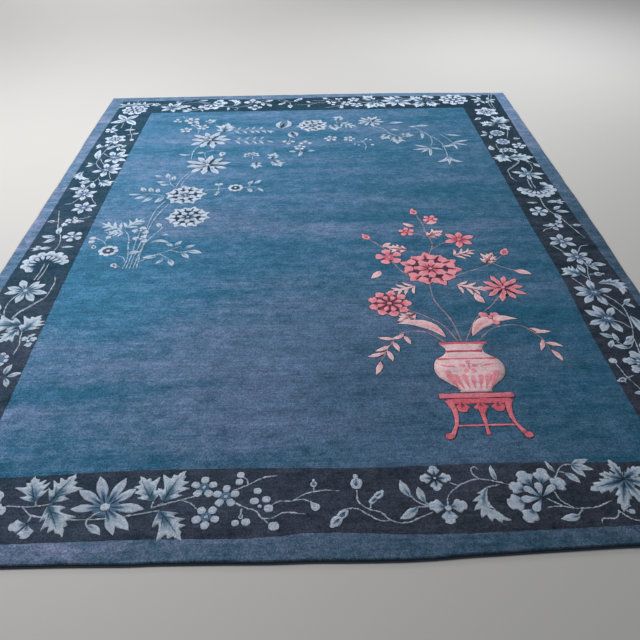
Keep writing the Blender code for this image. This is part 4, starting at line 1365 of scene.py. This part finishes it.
POT_FLOWERS = (
    ("full_peony", (520, -430, 125, 15)), ("lotus", (800, -585, 100, 40)),
    ("rosette", (315, -680, 88, 0)), ("small_lily", (690, -190, 78, 20)),
    ("five_petals", (350, -330, 62, 100)), ("plum", (455, -110, 40, 90), (585, 10, 38, 60)),
    ("bud", (515, 60, 58, 96), (860, -330, 60, 62), (270, -170, 56, 120)),
    ("trefoil", (700, -790, 48, 40)),
)
POT_LEAVES = (
    ("fern_leaf", (435, -560, 120, 200), (610, -560, 130, 335), (640, -330, 115, 20)),
    ("maple", (440, -270, 100, 165), (770, -400, 105, 60), (545, -160, 100, 30), (410, -750, 90, 215)),
    ("leaf", (500, -60, 60, 150), (560, -40, 55, 20), (700, -690, 75, 110), (880, -460, 70, -20),
    (300, -440, 70, 230), (330, -245, 55, 40)), ("arc_leaf", (610, -900, 230, 30)),
    ("arc_leaf_back", (505, -905, 200, 150)), ("slim_leaf", (350, -880, 60, 210), (310, -905, 62, 170),
    (290, -945, 66, 210), (300, -925, 62, 290), (265, -985, 68, 195), (275, -975, 64, 285),
    (245, -1035, 72, 250), (345, -890, 58, 290), (835, -860, 62, 330), (850, -890, 64, 10),
    (865, -930, 64, 250), (872, -950, 64, 335), (880, -990, 72, 290)),
)
POT_STEMS = (
    (560, -935, 545, -800, 500, -660, 500, -540, 520, -430), (550, -935, 500, -820, 420, -750, 350, -700),
    (575, -935, 640, -800, 730, -700, 790, -620), (530, -320, 560, -220, 545, -130, 540, -40, 520, 60),
    (550, -270, 610, -220, 680, -190), (470, -540, 400, -460, 365, -380, 350, -330),
    (350, -280, 310, -220, 270, -170), (545, -160, 500, -130, 455, -110), (540, -50, 565, -10, 585, 10),
    (600, -500, 700, -450, 790, -400, 860, -330), (800, -400, 850, -440, 885, -460),
    (500, -935, 430, -870, 350, -870, 295, -935, 250, -1030),
    (620, -935, 700, -855, 800, -840, 860, -910, 880, -990), (640, -840, 670, -810, 700, -790),
)
# The bowl, its trim and its stand as stroke rows in mm, with x counted from the bowl's middle:
# shape, x, y, tip x, tip y, half width, bow, mark at the root, mark at the tip, lift.
BOWL_BODY = [("bowl", 0, BOWL_FOOT, 0, BOWL_RIM, 126, 0.0, 1.0, 1.0, 0)]
BOWL_TRIM = [
    ("petal", 0.62 * x, -1190, x, -1118 + 0.35 * x * x / 110, 12.5, 0.0, 0.70, 0.95, 1)
    for x in np.linspace(-90, 90, 7)
] + [
    ("bar", -107, -1030, 107, -1030, 4.5, 0.0, 0.4, 0.4, 1),
    ("bar", -67, -988, 67, -988, 6.0, 0.0, 0.2, 0.2, 1),
    ("bar", -87, -942, 87, -942, 6.5, 0.0, 0.3, 0.3, 1),
]
BOWL_SPRIG = (
    ("plum", (BOWL_X, -1075, 36, 90)),
    ("slim_leaf", (BOWL_X + 45, -1072, 60, 12), (BOWL_X - 45, -1072, 60, 168)),
)
STAND = [
    ("bar", -132, STAND_TOP, 132, STAND_TOP, 12.5, 0.0, 0.60, 0.60, 1),
    ("bar", -108, STAND_TOP - 26, 108, STAND_TOP - 26, 14, 0.0, 0.35, 0.35, 0),
    ("cloud", -60, STAND_TOP - 32, -60, STAND_TOP - 78, 28, 0.0, 0.35, 0.50, 0),
    ("cloud", 0, STAND_TOP - 32, 0, STAND_TOP - 78, 28, 0.0, 0.35, 0.50, 0),
    ("cloud", 60, STAND_TOP - 32, 60, STAND_TOP - 78, 28, 0.0, 0.35, 0.50, 0),
    ("leg", -104, STAND_TOP - 20, -120.64, STAND_FOOT, 14, 0.13, 0.45, 0.60, 1),
    ("leg", 104, STAND_TOP - 20, 120.64, STAND_FOOT, 14, -0.13, 0.45, 0.60, 1),
    ("leg", 0, STAND_TOP - 60, 0, STAND_FOOT, 12, 0.0, 0.45, 0.60, 1),
    ("bar", -98, STAND_FOOT + 45, 98, STAND_FOOT + 45, 4, 0.0, 0.6, 0.6, 0),
    ("disc", -141, STAND_FOOT, -113, STAND_FOOT, 14, 0.0, 0.5, 0.5, 1),
    ("disc", 113, STAND_FOOT, 141, STAND_FOOT, 14, 0.0, 0.5, 0.5, 1),
]
CORAL_STOPS = (
    (0.0, (0.028, 0.045, 0.085, 1.0)), (0.14, (0.380, 0.070, 0.105, 1.0)),
    (0.35, (0.800, 0.155, 0.210, 1.0)), (0.70, (0.940, 0.280, 0.350, 1.0)),
    (1.0, (0.970, 0.400, 0.470, 1.0)),
)
BLUSH_STOPS = (
    (0.0, (0.028, 0.045, 0.085, 1.0)), (0.16, (0.560, 0.200, 0.230, 1.0)),
    (0.35, (0.860, 0.400, 0.440, 1.0)), (0.70, (0.960, 0.580, 0.630, 1.0)),
    (1.0, (0.980, 0.680, 0.720, 1.0)),
)
ROSE_GREY_STOPS = (
    (0.0, (0.140, 0.120, 0.150, 1.0)), (0.5, (0.440, 0.280, 0.330, 1.0)),
    (1.0, (0.680, 0.470, 0.510, 1.0)),
)


def from_bowl(rows):
    """Stroke rows in metres for stroke rows in mm whose x is counted from the bowl's middle."""
    moved = [(shape, BOWL_X + x, y, BOWL_X + tip_x, tip_y, half, *rest)
             for shape, x, y, tip_x, tip_y, half, *rest in rows]
    return [(row[0], *np.divide(row[1:6], MM_IN_METRE), *row[6:]) for row in moved]


coral = flower_wool("coral_wool", CORAL_STOPS)
blush = flower_wool("blush_wool", BLUSH_STOPS)
rose_grey = flower_wool("rose_grey_wool", ROSE_GREY_STOPS)
laid("pot_flowers", strokes_net(set_out(POT_FLOWERS), OUTLINE), coral)
laid("pot_leaves", strokes_net(set_out(POT_LEAVES), OUTLINE), blush)
pot_stem_nets = stems_net(POT_STEMS, POT_STEM_HALF_WIDTH, POT_STEM_MARK)
laid("pot_stems", pot_stem_nets, rose_grey)
laid("pot_bowl", strokes_net(from_bowl(BOWL_BODY), OUTLINE), blush)
laid("pot_bowl_trim", strokes_net(from_bowl(BOWL_TRIM) + set_out(BOWL_SPRIG)), coral)
laid("pot_stand", strokes_net(from_bowl(STAND), OUTLINE), coral)
